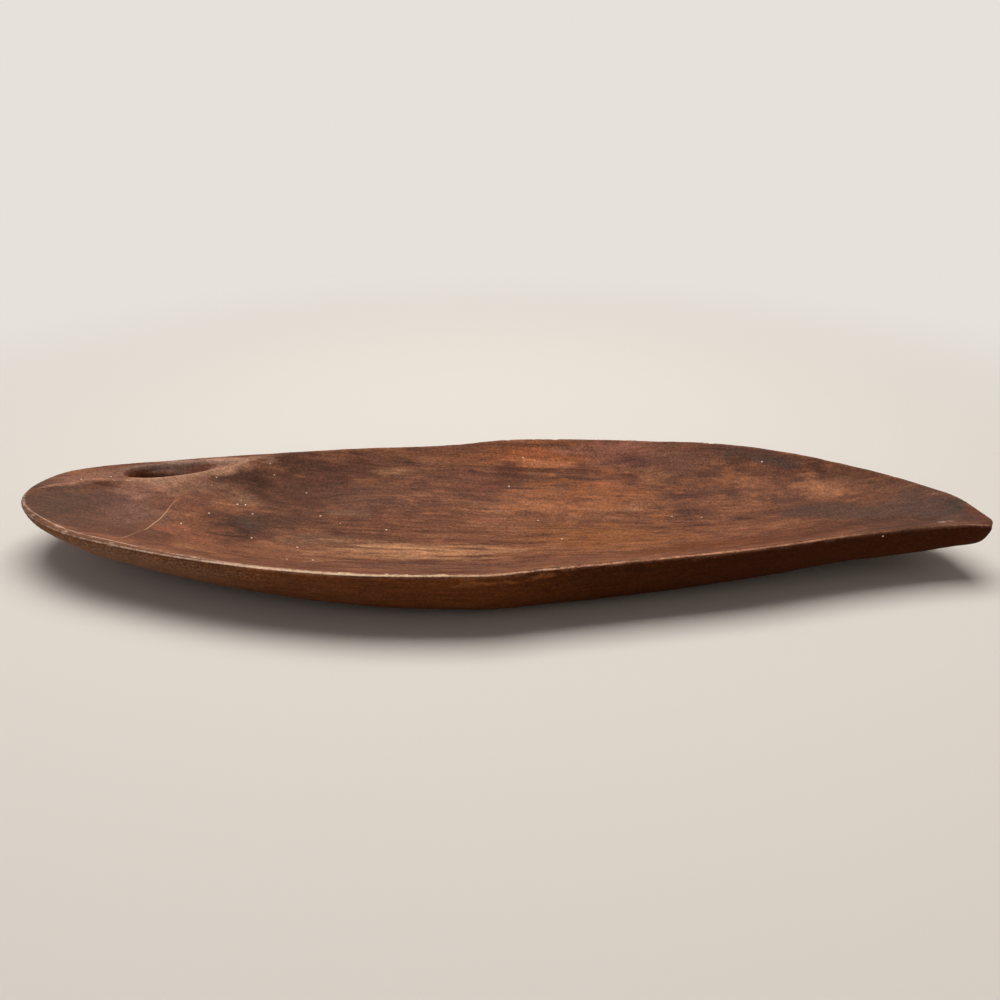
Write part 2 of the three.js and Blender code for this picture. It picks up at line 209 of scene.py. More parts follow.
class NodeSheet:
    """The nodes of a material or of the world, while they are laid out."""

    def __init__(self, owner: bpy.types.ID) -> None:
        """Starts with no nodes.

        Args:
            owner: The material or the world.
        """
        owner.use_nodes = True
        self.tree = owner.node_tree
        self.tree.nodes.clear()

    def add(
        self,
        kind: str,
        settings: dict[Any, Any] | None = None,
        links: dict[Any, Any] | None = None,
        out: str | None = None,
    ) -> Socket | None:
        """Adds a node with its settings and links.

        Args:
            kind: The node's type.
            settings: Property names, input names or input numbers, with their values, and the stops of a
                ramp as places with linear colours.
            links: Input names or numbers, with the sockets that feed them.
            out: Name of the output that is wanted, or None for the first that is in use.

        Returns:
            That output, or None for a node that has none.
        """
        node = self.tree.nodes.new(kind)
        settings = dict(settings or {})
        for i, (position, colour) in enumerate(settings.pop("stops", ())):
            elements = node.color_ramp.elements
            if i == 0:
                elements.remove(elements[1])
            element = elements.new(position) if i else elements[0]
            element.position, element.color = position, colour
        for key, value in settings.items():
            if isinstance(key, str) and hasattr(node, key):
                setattr(node, key, value)
        shown = [s for s in node.inputs if s.enabled]
        named = {s.name: s for s in reversed(shown)}
        for key, value in settings.items():
            if isinstance(key, int):
                shown[key].default_value = value
            elif not hasattr(node, key):
                named[key].default_value = value
        for key, socket in (links or {}).items():
            self.tree.links.new(socket, shown[key] if isinstance(key, int) else named[key])
        outputs = [s for s in node.outputs if s.enabled]
        return next((s for s in outputs if s.name == out), outputs[0]) if outputs else None

    def seen_rays(self) -> Socket:
        """Picks out the rays by which things are seen, straight, in a reflection or through glass.

        Returns:
            1 for a ray that is seen, 0 for another.
        """
        seen = self.add("ShaderNodeLightPath", out="Is Camera Ray")
        for kind in ("Is Glossy Ray", "Is Transmission Ray"):
            other = self.add("ShaderNodeLightPath", out=kind)
            seen = self.add("ShaderNodeMath", {"operation": "MAXIMUM"}, {0: seen, 1: other})
        return seen


@dataclass(frozen=True)
class Patch:
    """A soft-edged place where the wood has another colour.

    Attributes:
        centre: Middle of the patch.
        reach: How far it goes along each axis; it starts to fade at 0.3 of that and is gone at 1.3.
        colour: Its colour, as it is seen in the photograph.
        strength: How far the wood takes that colour.
        ragged: How much the grain breaks up its edge.
        turn: Degrees that its long way is turned from the tray's length.
        gloss: How much smoother the surface is there; less than 0 is duller.
        dust_and_sheen: How much pale dust lies there, with a grey film that is partly a painted sheen.
        outside: Whether it is on the outer band and the belly, and not in the dish.
        drawn: Whether the grain draws it out into long streaks.
    """

    centre: Point
    reach: Point
    colour: str
    strength: float = 0.7
    ragged: float = 1.0
    turn: float = 0.0
    gloss: float = 0.0
    dust_and_sheen: float = 0.0
    outside: bool = False
    drawn: bool = False

    def cover(self, places: np.ndarray, broken: np.ndarray) -> np.ndarray:
        """Says how far each place lies under the patch.

        Args:
            places: Points in millimetres, one row each.
            broken: Noise about 0 that breaks up the edge.

        Returns:
            From 0 outside the patch to 1 well inside it.
        """
        gap = places - self.centre
        turn = math.radians(self.turn)
        along = gap[:, 0] * math.cos(turn) + gap[:, 1] * math.sin(turn)
        across = gap[:, 1] * math.cos(turn) - gap[:, 0] * math.sin(turn)
        steps = np.column_stack((along, across, gap[:, 2])) / self.reach
        away = np.linalg.norm(steps, axis=1)
        return ease(1.3, 0.3, away + broken * self.ragged)


@dataclass(frozen=True)
class Stroke:
    """A long narrow mark that follows a line drawn on the dish, seen from above.

    Attributes:
        path: Points of the line.
        half: Half its width; it starts to fade at 0.4 of that and is gone at 1.5.
        colour: Its colour, as it is seen in the photograph.
        strength: How far the wood takes that colour.
        ragged: How much the grain breaks it up.
        gloss: How much smoother the surface is there; less than 0 is duller.
        dust_and_sheen: How much pale dust lies there, with a grey film that is partly a painted sheen.
        outside: Whether it is on the outer band and the belly, and not in the dish.
    """

    path: Curve
    half: float
    colour: str
    strength: float = 0.7
    ragged: float = 0.6
    gloss: float = 0.0
    dust_and_sheen: float = 0.0
    outside: bool = False

    def cover(self, places: np.ndarray, broken: np.ndarray) -> np.ndarray:
        """Says how far each place lies under the stroke.

        Args:
            places: Points in millimetres, one row each.
            broken: Noise about 0 that breaks it up.

        Returns:
            From 0 outside the stroke to 1 on its line.
        """
        across, run = beside_path(places, self.path)
        last = len(self.path) - 1
        taper = np.interp(run, (0, 0.12 * last, 0.85 * last, last), (0.2, 1, 1, 0.2))
        return ease(1.5, 0.4, np.abs(across) / (self.half * taper) + broken * self.ragged)


@dataclass(frozen=True)
class OiledHardwood:
    """Old tropical hardwood, carved by hand, oiled long ago and rubbed by use.

    It gives the eye a reddish brown with fine streaks along the board, dark stains and lighter worn places,
    a dull satin gloss, and a pale line where the lip has worn through to clean wood, with a painted
    highlight on it. Some colours are painted light and shade: highlights on ridges, a grey sheen, warm light
    and shade on the far wall and the slot's walls, and shade on the outer side towards the tip. The outside
    is darker and redder, with a rough band under the lip near the rounded end.

    Attributes:
        browns: The dish's colours from dark to light, as they are seen.
        outer_browns: The outer side's, as they are seen, from the rounded end to the tip; their darkening
        towards the tip is partly darker wood and partly painted shade.
        outer_warm: Warm wood that shows just under the lip, as it is seen.
        bark_dark: The hollows of the rough band, as they are seen.
        bark_pale: Its crumbs, as they are seen.
        bare_wood_and_highlight: The lip's bright lines, from the rounded end to the tip: wood worn clean,
            with
        a painted highlight on it.
        lip_tan: The flat of the lip near the rounded end, as it is seen.
        grime: Dirt along the foot of the lip, as it is seen.
        worn_edge: Rubbed edges, as they are seen.
        scratched: The wood's own colour in the scratch.
        dusty: The dust's own colour.
        dust_and_sheen_film: The own colour of the thin grey film under the specks, partly dust and partly a
        painted sheen.
        haze: What the gloss adds to each colour of the dish, in linear values.
        outer_haze: The same for the outer side.
        outer_shade: How much brighter the outer side's own colours are than they look in its own shade.
        least_own: Least share of a seen colour that is the wood's own.
        streak: Size of the long streaks. This and the next eight are a pattern's sizes along the tray,
            across it and upwards.
        grain: Size of the fine grain. Real grain and pores are too fine to show in the render, so they are
            drawn as coarse as they need to be.
        pore: Size of the dark pores.
        fleck: Size of the light flecks.
        figure: Size of the broad figure.
        mottle: Size of the mottling.
        cloud: Size of the cloudy wear.
        bark: Size of the crumbs in the rough band, and of the specks of dust.
        chip: Size of the breaks in the lip's bright lines.
        wander: The grain wanders a few millimetres to either side; the noise that moves it spans this much.
        wander_size: Size of its bends.
        ring_spacing: From one growth ring to the next.
        tree_heart: A point on the line that the growth rings go round.
        inner_line: Half the width of the bright line on the lip's inner edge.
        scratch_half: Half the width of the pale line in the scratch.
        roughness: Roughness of the oiled surface.
        specular: How strong its reflections are; old oil has dulled them.
        relief: Depth of the grain's relief.
        ragged_size: Size of the noise that breaks up the edge of a stain.
        drawn_size: Its size where the grain draws the stain out.
        ragged_depth: How far it moves the edge, as a share of the stain's reach.
        patches: Stains and worn places, from the lowest layer to the topmost.
        strokes: Narrow marks on top of them.
    """

    browns: tuple[tuple[float, str], ...] = (
        (0.0, "#583B31"), (0.3, "#6E483A"), (0.55, "#7E533F"), (0.78, "#8E5E46"), (1.0, "#9C6C50"),
    )
    outer_browns: tuple[tuple[float, str], ...] = (
        (0.0, "#5F4434"), (0.15, "#5C4130"), (0.3, "#4A2B1A"), (0.48, "#472613"), (0.6, "#32190B"),
        (0.75, "#2C1508"), (1.0, "#301709"),
    )
    outer_warm: str = "#643619"
    bark_dark: str = "#3A2516"
    bark_pale: str = "#806048"
    bare_wood_and_highlight: tuple[tuple[float, str], ...] = (
        (0.0, "#D9B59F"), (0.2, "#E2BEA6"), (0.31, "#F6D2B5"), (0.42, "#FFDDB8"), (0.5, "#EDBE98"),
        (0.58, "#F2B694"), (0.68, "#F5AE8B"), (0.85, "#D89A7C"), (1.0, "#BE8A6C"),
    )
    lip_tan: str = "#856350"
    grime: str = "#4E352B"
    worn_edge: str = "#A67C60"
    scratched: str = "#C99B7C"
    dusty: str = "#968A80"
    dust_and_sheen_film: str = "#5C4C48"
    haze: float = 0.006
    outer_haze: float = 0.0022
    outer_shade: float = 2.15
    least_own: float = 0.45
    streak: Point = (64.0, 2.6, 2.6)
    grain: Point = (1.7, 1.5, 1.5)
    pore: Point = (3.4, 1.1, 1.1)
    fleck: Point = (2.6, 1.8, 1.8)
    figure: Point = (100.0, 24.0, 24.0)
    mottle: Point = (26.0, 11.0, 11.0)
    cloud: Point = (9.0, 4.6, 4.6)
    bark: Point = (1.9, 1.3, 1.3)
    chip: Point = (7.0, 4.0, 4.0)
    wander: float = 24.0
    wander_size: Point = (150.0, 60.0, 60.0)
    ring_spacing: float = 4.4
    tree_heart: Point = (0.0, 35.0, -240.0)
    inner_line: float = 0.5
    scratch_half: float = 0.55
    roughness: float = 0.52
    specular: float = 0.06
    relief: float = 0.25
    ragged_size: Point = (20.0, 7.0, 7.0)
    drawn_size: Point = (60.0, 4.0, 5.0)
    ragged_depth: float = 0.62
    patches: tuple[Patch, ...] = (
        # bloom in the shallow rounded end, grey at the lip, partly as painted sheen, and purple further in
        Patch((-266, -17, 36), (42, 32, 12), "#7D5C4F", 0.8, 0.6, 0, -0.03),
        Patch((-246, -32, 34), (34, 16, 10), "#6C4A3D", 0.6, 1.2, 8),
        Patch((-270, -45, 34), (56, 12, 9), "#644336", 0.85, 0.9, 6, -0.02),
        Patch((-301, -24, 40), (32, 15, 9), "#684A3D", 0.8, 0.8, -10, -0.02),
        Patch((-291, 3, 40), (32, 15, 9), "#684C43", 0.8, 0.7, 8, -0.05, 0.12),
        Patch((-320, -12, 43), (44, 32, 13), "#5B4439", 0.92, 0.6, -35, -0.06, 0.2),
        # pinkish wood between the slot and the rounded end, and below the slot; near the ramp the pink is
        # partly a painted highlight
        Patch((-264, 19, 39), (38, 10, 7), "#A97A66", 0.85, 1.1, 9, 0.03),
        Patch((-230, 29, 36), (24, 8, 7), "#8C6550", 0.8, 1.1, 20, 0.02),
        Patch((-208, 50, 42), (17, 6, 6), "#B28066", 0.75, 1.3, 32, 0.03),
        Patch((-316, 26, 44), (40, 11, 6), "#936A58", 0.85, 0.8, 24, 0.03),
        # dark stains below the crest, on the far wall, partly stain and partly painted shade
        Patch((-157, 44, 26), (44, 30, 17), "#593C30", 0.8, 0.9, 4, -0.03),
        Patch((-206, 43, 36), (26, 9, 7), "#523A30", 0.85, 0.9, 12, -0.05),
        Patch((-189, 39, 31), (14, 8, 8), "#432D24", 0.75, 0.9, 0, -0.05),
        Patch((-128, 62, 32), (50, 18, 14), "#5C3A2F", 0.75, 0.9, 2),
        Patch((-165, 64, 38), (26, 9, 9), "#50352A", 0.7, 0.9),
        # a lighter tan fold runs down between them
        Patch((-199, 26, 28), (30, 7, 9), "#8F674F", 0.8, 1.1, -27, 0.03),
        # the darkest stain, with a hard lower edge
        Patch((-190, -8, 20), (37, 23, 11), "#47332D", 0.95, 0.8, 10, -0.05, 0.06),
        Patch((-184, 2, 20), (14, 9, 7), "#4F4641", 0.75, 0.9, 20, -0.05, 0.1),
        # reddish places that hands have rubbed
        Patch((-214, -29, 27), (30, 18, 10), "#8A5843", 0.75, 1.3, 8, 0.05),
        Patch((-232, -22, 28), (14, 7, 6), "#A0634C", 0.6, 1.3, 14, 0.05),
        # grey tan streaks that curl round the end of the floor
        Patch((-132, -12, 16), (40, 10, 7), "#7E5E4B", 0.65, 1.3, 3, 0.02),
        Patch((-160, 8, 18), (36, 16, 8), "#5C4135", 0.88, 0.8, 5, -0.03),
        Patch((-136, -37, 18), (44, 15, 9), "#7D5441", 0.5, 1.2, -4),
        # the far wall left of the middle: dark, with orange and pale flecks
        Patch((-91, 79, 40), (32, 7, 8), "#6B4636", 0.6, 1.6),
        Patch((-107, 58, 28), (15, 4.5, 5), "#A66E4C", 0.6, 1.9, 5),
        Patch((-81, 69, 33), (13, 3, 4), "#BC8862", 0.6, 1.8, drawn=True),
        Patch((-60, 79, 38), (16, 3.5, 4), "#BC8864", 0.65, 1.8, drawn=True),
        Patch((-107, 42, 21), (36, 15, 8), "#694A3E", 0.75, 1.0, 0, -0.02),
        Patch((-111, 25, 17), (22, 6, 6), "#836856", 0.4, 1.6),
        Patch((-20, 60, 26), (40, 18, 12), "#74483A", 0.55, 1.1),
        # the middle: a dark knot beside the brightest orange wood, whose orange high on the far wall is
        # partly painted warm light
        Patch((-32, 82, 40), (48, 11, 10), "#8B5B43", 0.85, 0.9, 4),
        Patch((6, 85, 41), (32, 10, 9), "#985F42", 0.88, 0.9),
        Patch((9, 73, 33), (15, 8, 7), "#532F26", 0.85, 0.9, 0, -0.02),
        Patch((36, 86, 41), (28, 13, 10), "#B46A46", 0.85, 1.7, 0, 0.05, drawn=True),
        Patch((-30, 16, 14), (56, 25, 9), "#754D3B", 0.55, 1.1),
        Patch((33, 80, 36), (24, 4, 4), "#D0865B", 0.8, 1.5, 0, 0.05, drawn=True),
        Patch((5, 70, 31), (17, 11, 9), "#613C31", 0.85, 1.3, 0, -0.02),
        Patch((31, 75, 33), (18, 2, 4), "#5C392B", 0.75, 0.9),
        Patch((82, 56, 22), (58, 22, 11), "#A16440", 0.78, 1.5, 0, 0.03),
        Patch((88, 66, 26), (11, 3, 4), "#AF674B", 0.75, 1.3),
        Patch((42, 44, 18), (36, 12, 7), "#A66B48", 0.75, 1.9, 0, 0.04, drawn=True),
        Patch((-6, 22, 14), (18, 3, 4), "#A3634E", 0.7, 1.5),
        # long tan streaks where the near half of the floor is worn thin
        Patch((-55, -24, 14), (72, 15, 8), "#B98764", 0.85, 1.5, 2, 0.05, drawn=True),
        Patch((-77, -20, 14), (30, 2.6, 5), "#C8956F", 0.6, 1.5, 0, 0.05, drawn=True),
        Patch((-39, -27, 14), (24, 4.4, 5), "#C68B64", 0.65, 1.4, 0, 0.05, drawn=True),
        Patch((-20, 2, 13), (34, 5, 5), "#96654B", 0.55, 1.8, drawn=True),
        Patch((-51, -53, 21), (78, 13, 9), "#745143", 0.7, 1.2, 3),
        Patch((40, -44, 19), (36, 10, 8), "#6E4D3E", 0.55, 1.3, 6),
        Patch((85, -1, 14), (62, 25, 9), "#945F3B", 0.75, 1.1, 0, 0.03),
        Patch((118, -10, 16), (40, 8, 6), "#936043", 0.5, 1.4, 4, 0.04),
        # the far wall right of the middle: purple brown, with a bluish film further on that is partly dust
        # and partly a painted sheen
        Patch((104, 90, 43), (60, 14, 12), "#9E6A57", 0.9, 0.8, 0, -0.02),
        Patch((150, 85, 41), (36, 15, 12), "#88604E", 0.85, 0.9, 0, -0.02),
        Patch((114, 84, 38), (15, 5, 5), "#5C3F3F", 0.6, 1.9, -5),
        Patch((130, 72, 30), (16, 9, 7), "#996A4D", 0.7, 1.3, 0, 0.03),
        Patch((178, 90, 45), (36, 7, 8), "#755246", 0.75, 0.9, -3, -0.03),
        Patch((213, 81, 45), (40, 8, 7), "#56443F", 0.85, 0.8, -15, -0.07, 0.25),
        Patch((171, 74, 33), (17, 5, 5), "#553C33", 0.55, 0.9, 20, -0.04, 0.05),
        Patch((194, 81, 40), (15, 4, 5), "#50352E", 0.75, 0.9, 12, -0.04),
        # rubbed orange and tan places beyond it
        Patch((202, 66, 32), (28, 8, 7), "#A46B4A", 0.75, 1.5, -6, 0.05),
        Patch((255, 50, 34), (23, 11, 8), "#A36C4D", 0.8, 1.7, -20, 0.05),
        Patch((256, 50, 33), (14, 5, 5), "#B57A52", 0.65, 1.9, -20, 0.05),
        Patch((285, 46, 39), (25, 16, 9), "#7B533D", 0.6, 1.0, -20),
        # the dark band near the tip, and a grey haze there that is partly dust and partly a painted sheen
        Patch((252, 23, 29), (46, 16, 10), "#664537", 0.85, 0.7, -8, -0.04, 0.15),
        Patch((240, 26, 27), (26, 7, 6), "#4E3830", 0.75, 1.0, 0, -0.04, 0.25),
        Patch((276, 16, 33), (34, 13, 9), "#5E463B", 0.85, 0.7, -15, -0.05, 0.25),
        Patch((316, 26, 42), (24, 13, 9), "#5F453D", 0.85, 0.8, -40, -0.05),
        Patch((318, 2, 41), (36, 22, 13), "#4C3E39", 0.9, 0.7, -20, -0.07, 0.4),
        Patch((330, 7, 44), (14, 11, 8), "#443B34", 0.85, 0.6, -20, -0.07, 0.1),
        Patch((212, -14, 28), (62, 15, 10), "#653F2F", 0.8, 0.9, 10),
        Patch((145, -19, 20), (56, 12, 8), "#6B402C", 0.8, 0.9, 8),
        Patch((246, -3, 30), (36, 12, 8), "#5E3E30", 0.8, 0.8, 5, -0.02),
        Patch((287, -3, 36), (34, 12, 8), "#533A30", 0.9, 0.6, -6, -0.04, 0.1),
        Patch((287, -20, 42), (40, 14, 9), "#4D362D", 0.9, 0.7, 16, -0.04, 0.1),
        Patch((322, -21, 45), (34, 6, 6), "#735248", 0.75, 0.8, 3),
        # reddish bare triangle at the tip
        Patch((346, -6, 45), (12, 15, 7), "#6A4032", 0.95, 0.5, 0, 0.03),
        # flecks knocked out beside the lip
        Patch((312.5, -17, 44.3), (2.8, 2.2, 4), "#FFE2CE", 1.0, 0.3),
        Patch((318, -17, 45), (2.6, 2.2, 4), "#B99380", 0.8, 0.6),
        # the slot's walls: worn wood above, painted paler to make up for the shade the walls lie in, with
        # painted highlights on the ramp; below, painted shade deep in the slot
        Patch((-281, 38, 22), (24, 17, 15), "#453A2F", 0.92, 0.3, 10, -0.1),
        Patch((-257, 48.5, 41), (22, 6, 7), "#D8BAAE", 0.85, 1.2, 12, -0.04),
        Patch((-238, 53, 40), (20, 7, 8), "#B5877A", 0.85, 1.2, 12),
        Patch((-222, 57, 43), (32, 6, 4), "#BE9682", 0.8, 1.3, 12),
        Patch((-268, 46, 44), (40, 6, 3.5), "#80675A", 0.85, 0.7, 14),
        # bare flecks where the lip's edge was knocked at the rounded end
        Patch((-323, -36.4, 45), (2.6, 2.4, 3), "#B89482", 0.85, 0.5),
        Patch((-297, -50, 45), (4.2, 2.0, 3), "#E0BCA4", 0.9, 0.5, -25),
        Patch((-288.4, -57.3, 45), (2.8, 2.2, 3), "#D0AA94", 0.9, 0.5),
        Patch((-250, -71, 44.5), (3, 2, 3), "#D8B29A", 0.9, 0.5),
        # broken orange wood just under the lip, near the middle
        Patch((4, -96, 40), (34, 9, 2.6), "#6E4226", 0.6, 2.6, 4, outside=True),
        Patch((-92, -80, 41), (30, 12, 2.2), "#643A20", 0.6, 1.4, -8, outside=True),
    )
    strokes: tuple[Stroke, ...] = (
        # the soft ridge between the flat rounded end and the dish: a pinkish worn line with a painted
        # highlight on it
        Stroke(
            ((-343, 2.5), (-336.6, 7.6), (-329.5, 12.3), (-322.8, 15.9), (-317, 19.8), (-311.9, 21.6),
             (-299.6, 21.2), (-290.7, 21.6), (-283.6, 23)),
            1.7, "#B27F68", 0.7, 0.9,
        ),
        # the hard lower edge of the darkest stain
        Stroke(((-209, -21), (-200, -21.5), (-190, -21), (-181, -18)), 1.3, "#432E26", 0.8, 0.6),
        # the grey haze, partly dust and partly a painted sheen, runs in one band along the near side of
        # the tip
        Stroke(
            ((218, 26), (236, 26), (254, 24), (270, 16), (285, 14), (297, 19), (308, 18), (318, 11),
             (330, 3)),
            9.5, "#604840", 0.6, 0.8, -0.05, 0.2,
        ),
        # the crest below the slot is rubbed to an orange tan, with a brighter line on its edge that is
        # partly a painted highlight
        Stroke(
            ((-284, 22), (-266, 25), (-256.7, 27.5), (-249.6, 29.5), (-239.5, 33.5), (-233, 37.5),
             (-223, 43), (-213.4, 49.4), (-205, 54.5)),
            5.6, "#BD8F74", 0.95, 1.0, 0.04,
        ),
        Stroke(
            ((-258, 29.5), (-249.6, 32.5), (-239.5, 36.5), (-233, 40.5), (-223, 45.8), (-213.4, 52),
             (-203, 57.5)),
            1.5, "#DCAE86", 0.85, 0.8, 0.04,
        ),
    )

    def own(self, seen: str, outside: bool = False) -> Rgba:
        """Works out the wood's own colour from the one that is seen in the photograph.

        Args:
            seen: The colour that is seen.
            outside: Whether it is on the outer side, which is turned away from the light.

        Returns:
            The wood's own colour, linear.
        """
        haze, gain = (self.outer_haze, self.outer_shade) if outside else (self.haze, 1.0)
        red, green, blue = (max(c - haze, c * self.least_own) * gain for c in linear(seen)[:3])
        return red, green, blue, 1.0

    def stains(self, places: np.ndarray, outside: np.ndarray) -> dict[Mark, np.ndarray]:
        """Lays the patches and the strokes over one another.

        Args:
            places: The tray's vertices in millimetres.
            outside: 1 on the outer band and the belly, 0 in the dish.

        Returns:
            The stains' colour, how far the wood takes it, the dust and painted sheen and the gloss, per
            vertex.
        """
        # each shift reads another part of the noise, so that neighbours don't share an edge
        depth = self.ragged_depth
        noises = [ripple(places + shift, self.ragged_size, 5) * depth for shift in (0, 700, 1900)]
        streaks = ripple(places + 2600, self.drawn_size, 4) * depth
        colour = np.zeros((len(places), 3))
        taken, dust_and_sheen, gloss = np.zeros((3, len(places)))
        for i, mark in enumerate((*self.patches, *self.strokes)):
            drawn = isinstance(mark, Patch) and mark.drawn
            cover = mark.cover(places, streaks if drawn else noises[i % 3])
            here = outside if mark.outside else 1 - outside
            share = cover * mark.strength * here
            own = self.own(mark.colour, mark.outside)[:3]
            colour = colour * (1 - share)[:, None] + np.array(own) * share[:, None]
            taken = taken * (1 - share) + share
            dust_and_sheen = np.maximum(dust_and_sheen * (1 - share), cover * here * mark.dust_and_sheen)
            gloss += cover * here * mark.gloss
        bare = np.ones(len(places))
        rgba = np.column_stack((colour / np.maximum(taken, 1e-4)[:, None], bare))
        return {Mark.STAIN: rgba, Mark.STAINED: taken, Mark.DUST_AND_SHEEN: dust_and_sheen, Mark.GLOSS: gloss}

    def build(self) -> bpy.types.Material:
        """Lays out the nodes.

        Returns:
            The material.
        """
        material = bpy.data.materials.new("old_oiled_hardwood")
        sheet = NodeSheet(material)
        add = sheet.add
        place = add("ShaderNodeTexCoord", out="Object")
        marks: Marks = {}
        for mark in Mark:
            wanted = "Color" if mark is Mark.STAIN else "Fac"
            marks[mark] = add("ShaderNodeAttribute", {"attribute_name": mark.value}, out=wanted)

        # the grain wanders to either side of a straight line
        bends = add("ShaderNodeMapping", {"Scale": per_mm(*self.wander_size)}, {"Vector": place})
        wander = add(
            "ShaderNodeTexNoise", {"Scale": 1.0, "Detail": 2.0}, {"Vector": bends}, out="Color"
        )
        centred = add("ShaderNodeVectorMath", {"operation": "SUBTRACT", 1: (0.5, 0.5, 0.5)}, {0: wander})
        grain = add(
            "ShaderNodeVectorMath",
            {"operation": "MULTIPLY_ADD", 1: (0.0, self.wander * MM, self.wander * MM)},
            {0: centred, 2: place},
        )
        fields: Fields = {}
        for name, size, detail, rough in (
            ("streak", self.streak, 4.0, 0.6),
            ("fine", self.grain, 3.0, 0.65),
            ("pore", self.pore, 1.0, 0.5),
            ("fleck", self.fleck, 2.0, 0.6),
            ("figure", self.figure, 4.0, 0.55),
            ("mottle", self.mottle, 6.0, 0.62),
            ("cloud", self.cloud, 5.0, 0.7),
            ("bark", self.bark, 4.0, 0.72),
            ("chip", self.chip, 3.0, 0.7),
        ):
            scaled = add("ShaderNodeMapping", {"Scale": per_mm(*size)}, {"Vector": grain})
            fields[name] = add(
                "ShaderNodeTexNoise",
                {"Scale": 1.0, "Detail": detail, "Roughness": rough},
                {"Vector": scaled},
            )

        colour = self.dish_colour(sheet, fields)
        outer = self.outer_colour(sheet, place, marks, fields)
        colour = add(
            "ShaderNodeMix",
            {"data_type": "RGBA"},
            {"Factor": marks[Mark.OUTSIDE], "A": colour, "B": outer},
        )
        # the stains let some of the wood under them through, along the grain
        thin = add("ShaderNodeMapRange", {1: 0.34, 2: 0.56, 3: 0.7, 4: 1.0}, {0: fields["cloud"]})
        taken = add("ShaderNodeMath", {"operation": "MULTIPLY"}, {0: thin, 1: marks[Mark.STAINED]})
        colour = add(
            "ShaderNodeMix", {"data_type": "RGBA"}, {"Factor": taken, "A": colour, "B": marks[Mark.STAIN]}
        )
        colour = self.shade_grain(sheet, grain, fields, colour)
        colour = self.lay_dust_and_sheen(sheet, marks, fields, colour)
        colour, cut = self.wear_and_highlights(sheet, place, marks, fields, colour)

        rough = add(
            "ShaderNodeMath",
            {"operation": "MULTIPLY_ADD", 1: 0.3, 2: self.roughness - 0.15},
            {0: fields["cloud"]},
        )
        rough = add("ShaderNodeMath", {"operation": "SUBTRACT"}, {0: rough, 1: marks[Mark.GLOSS]})
        rough = add(
            "ShaderNodeMath", {"operation": "MULTIPLY_ADD", 1: 0.3}, {0: marks[Mark.OUTSIDE], 2: rough}
        )
        relief = add(
            "ShaderNodeMath",
            {"operation": "MULTIPLY_ADD", 1: 0.8},
            {0: fields["fine"], 2: fields["streak"]},
        )
        relief = add(
            "ShaderNodeMath", {"operation": "MULTIPLY_ADD", 1: 0.5}, {0: fields["cloud"], 2: relief}
        )
        bark = add("ShaderNodeMath", {"operation": "MULTIPLY"}, {0: fields["bark"], 1: marks[Mark.ROUGH]})
        relief = add("ShaderNodeMath", {"operation": "MULTIPLY_ADD", 1: 3.0}, {0: bark, 2: relief})
        relief = add("ShaderNodeMath", {"operation": "MULTIPLY_ADD", 1: -0.6}, {0: cut, 2: relief})
        bumped = add("ShaderNodeBump", {"Strength": 0.55, "Distance": self.relief * MM}, {"Height": relief})
        shader = add(
            "ShaderNodeBsdfPrincipled",
            {"Specular IOR Level": self.specular},
            {"Base Color": colour, "Roughness": rough, "Normal": bumped},
        )
        add("ShaderNodeOutputMaterial", {}, {"Surface": shader})
        return material

    def dish_colour(self, sheet: NodeSheet, fields: Fields) -> Socket:
        """Colours the dish, from a dark purple brown to tan, as the wood's figure and streaks go.

        Args:
            sheet: The nodes of the material.
            fields: The grain's noises by name.

        Returns:
            The colour.
        """
        add = sheet.add
        tone = add("ShaderNodeMath", {"operation": "MULTIPLY", 1: 0.5}, {0: fields["mottle"]})
        tone = add(
            "ShaderNodeMath", {"operation": "MULTIPLY_ADD", 1: 0.34}, {0: fields["figure"], 2: tone}
        )
        tone = add(
            "ShaderNodeMath", {"operation": "MULTIPLY_ADD", 1: 0.16}, {0: fields["streak"], 2: tone}
        )
        tone = add("ShaderNodeMapRange", {1: 0.37, 2: 0.63}, {0: tone})
        stops = [(at, self.own(code)) for at, code in self.browns]
        return add("ShaderNodeValToRGB", {"stops": stops}, {"Fac": tone})

    def outer_colour(self, sheet: NodeSheet, place: Socket, marks: Marks, fields: Fields) -> Socket:
        """Colours the outer band and the belly, which are darker than the dish.

        Args:
            sheet: The nodes of the material.
            place: Object coordinates.
            marks: The values kept on the vertices.
            fields: The grain's noises by name.

        Returns:
            The colour.
        """
        add = sheet.add
        along = add("ShaderNodeSeparateXYZ", {}, {0: place}, out="X")
        # darker towards the tip, partly darker wood and partly painted shade
        tipwards = add("ShaderNodeMapRange", {1: -0.35, 2: 0.35}, {0: along})
        stops = [(at, self.own(code, outside=True)) for at, code in self.outer_browns]
        ramp = add("ShaderNodeValToRGB", {"stops": stops}, {"Fac": tipwards})
        # warm wood shows in places just under the lip, from the rounded end to the middle
        near_lip = add("ShaderNodeMapRange", {1: -9.0, 2: -1.5}, {0: marks[Mark.LIP_OUTER]})
        butt = add("ShaderNodeMapRange", {1: 0.06, 2: -0.01}, {0: along})
        mottled = add("ShaderNodeMapRange", {1: 0.42, 2: 0.62}, {0: fields["mottle"]})
        warm = mottled
        for other in (near_lip, butt):
            warm = add("ShaderNodeMath", {"operation": "MULTIPLY"}, {0: warm, 1: other})
        colour = add(
            "ShaderNodeMix",
            {"data_type": "RGBA", "B": self.own(self.outer_warm, outside=True)},
            {"Factor": warm, "A": ramp},
        )
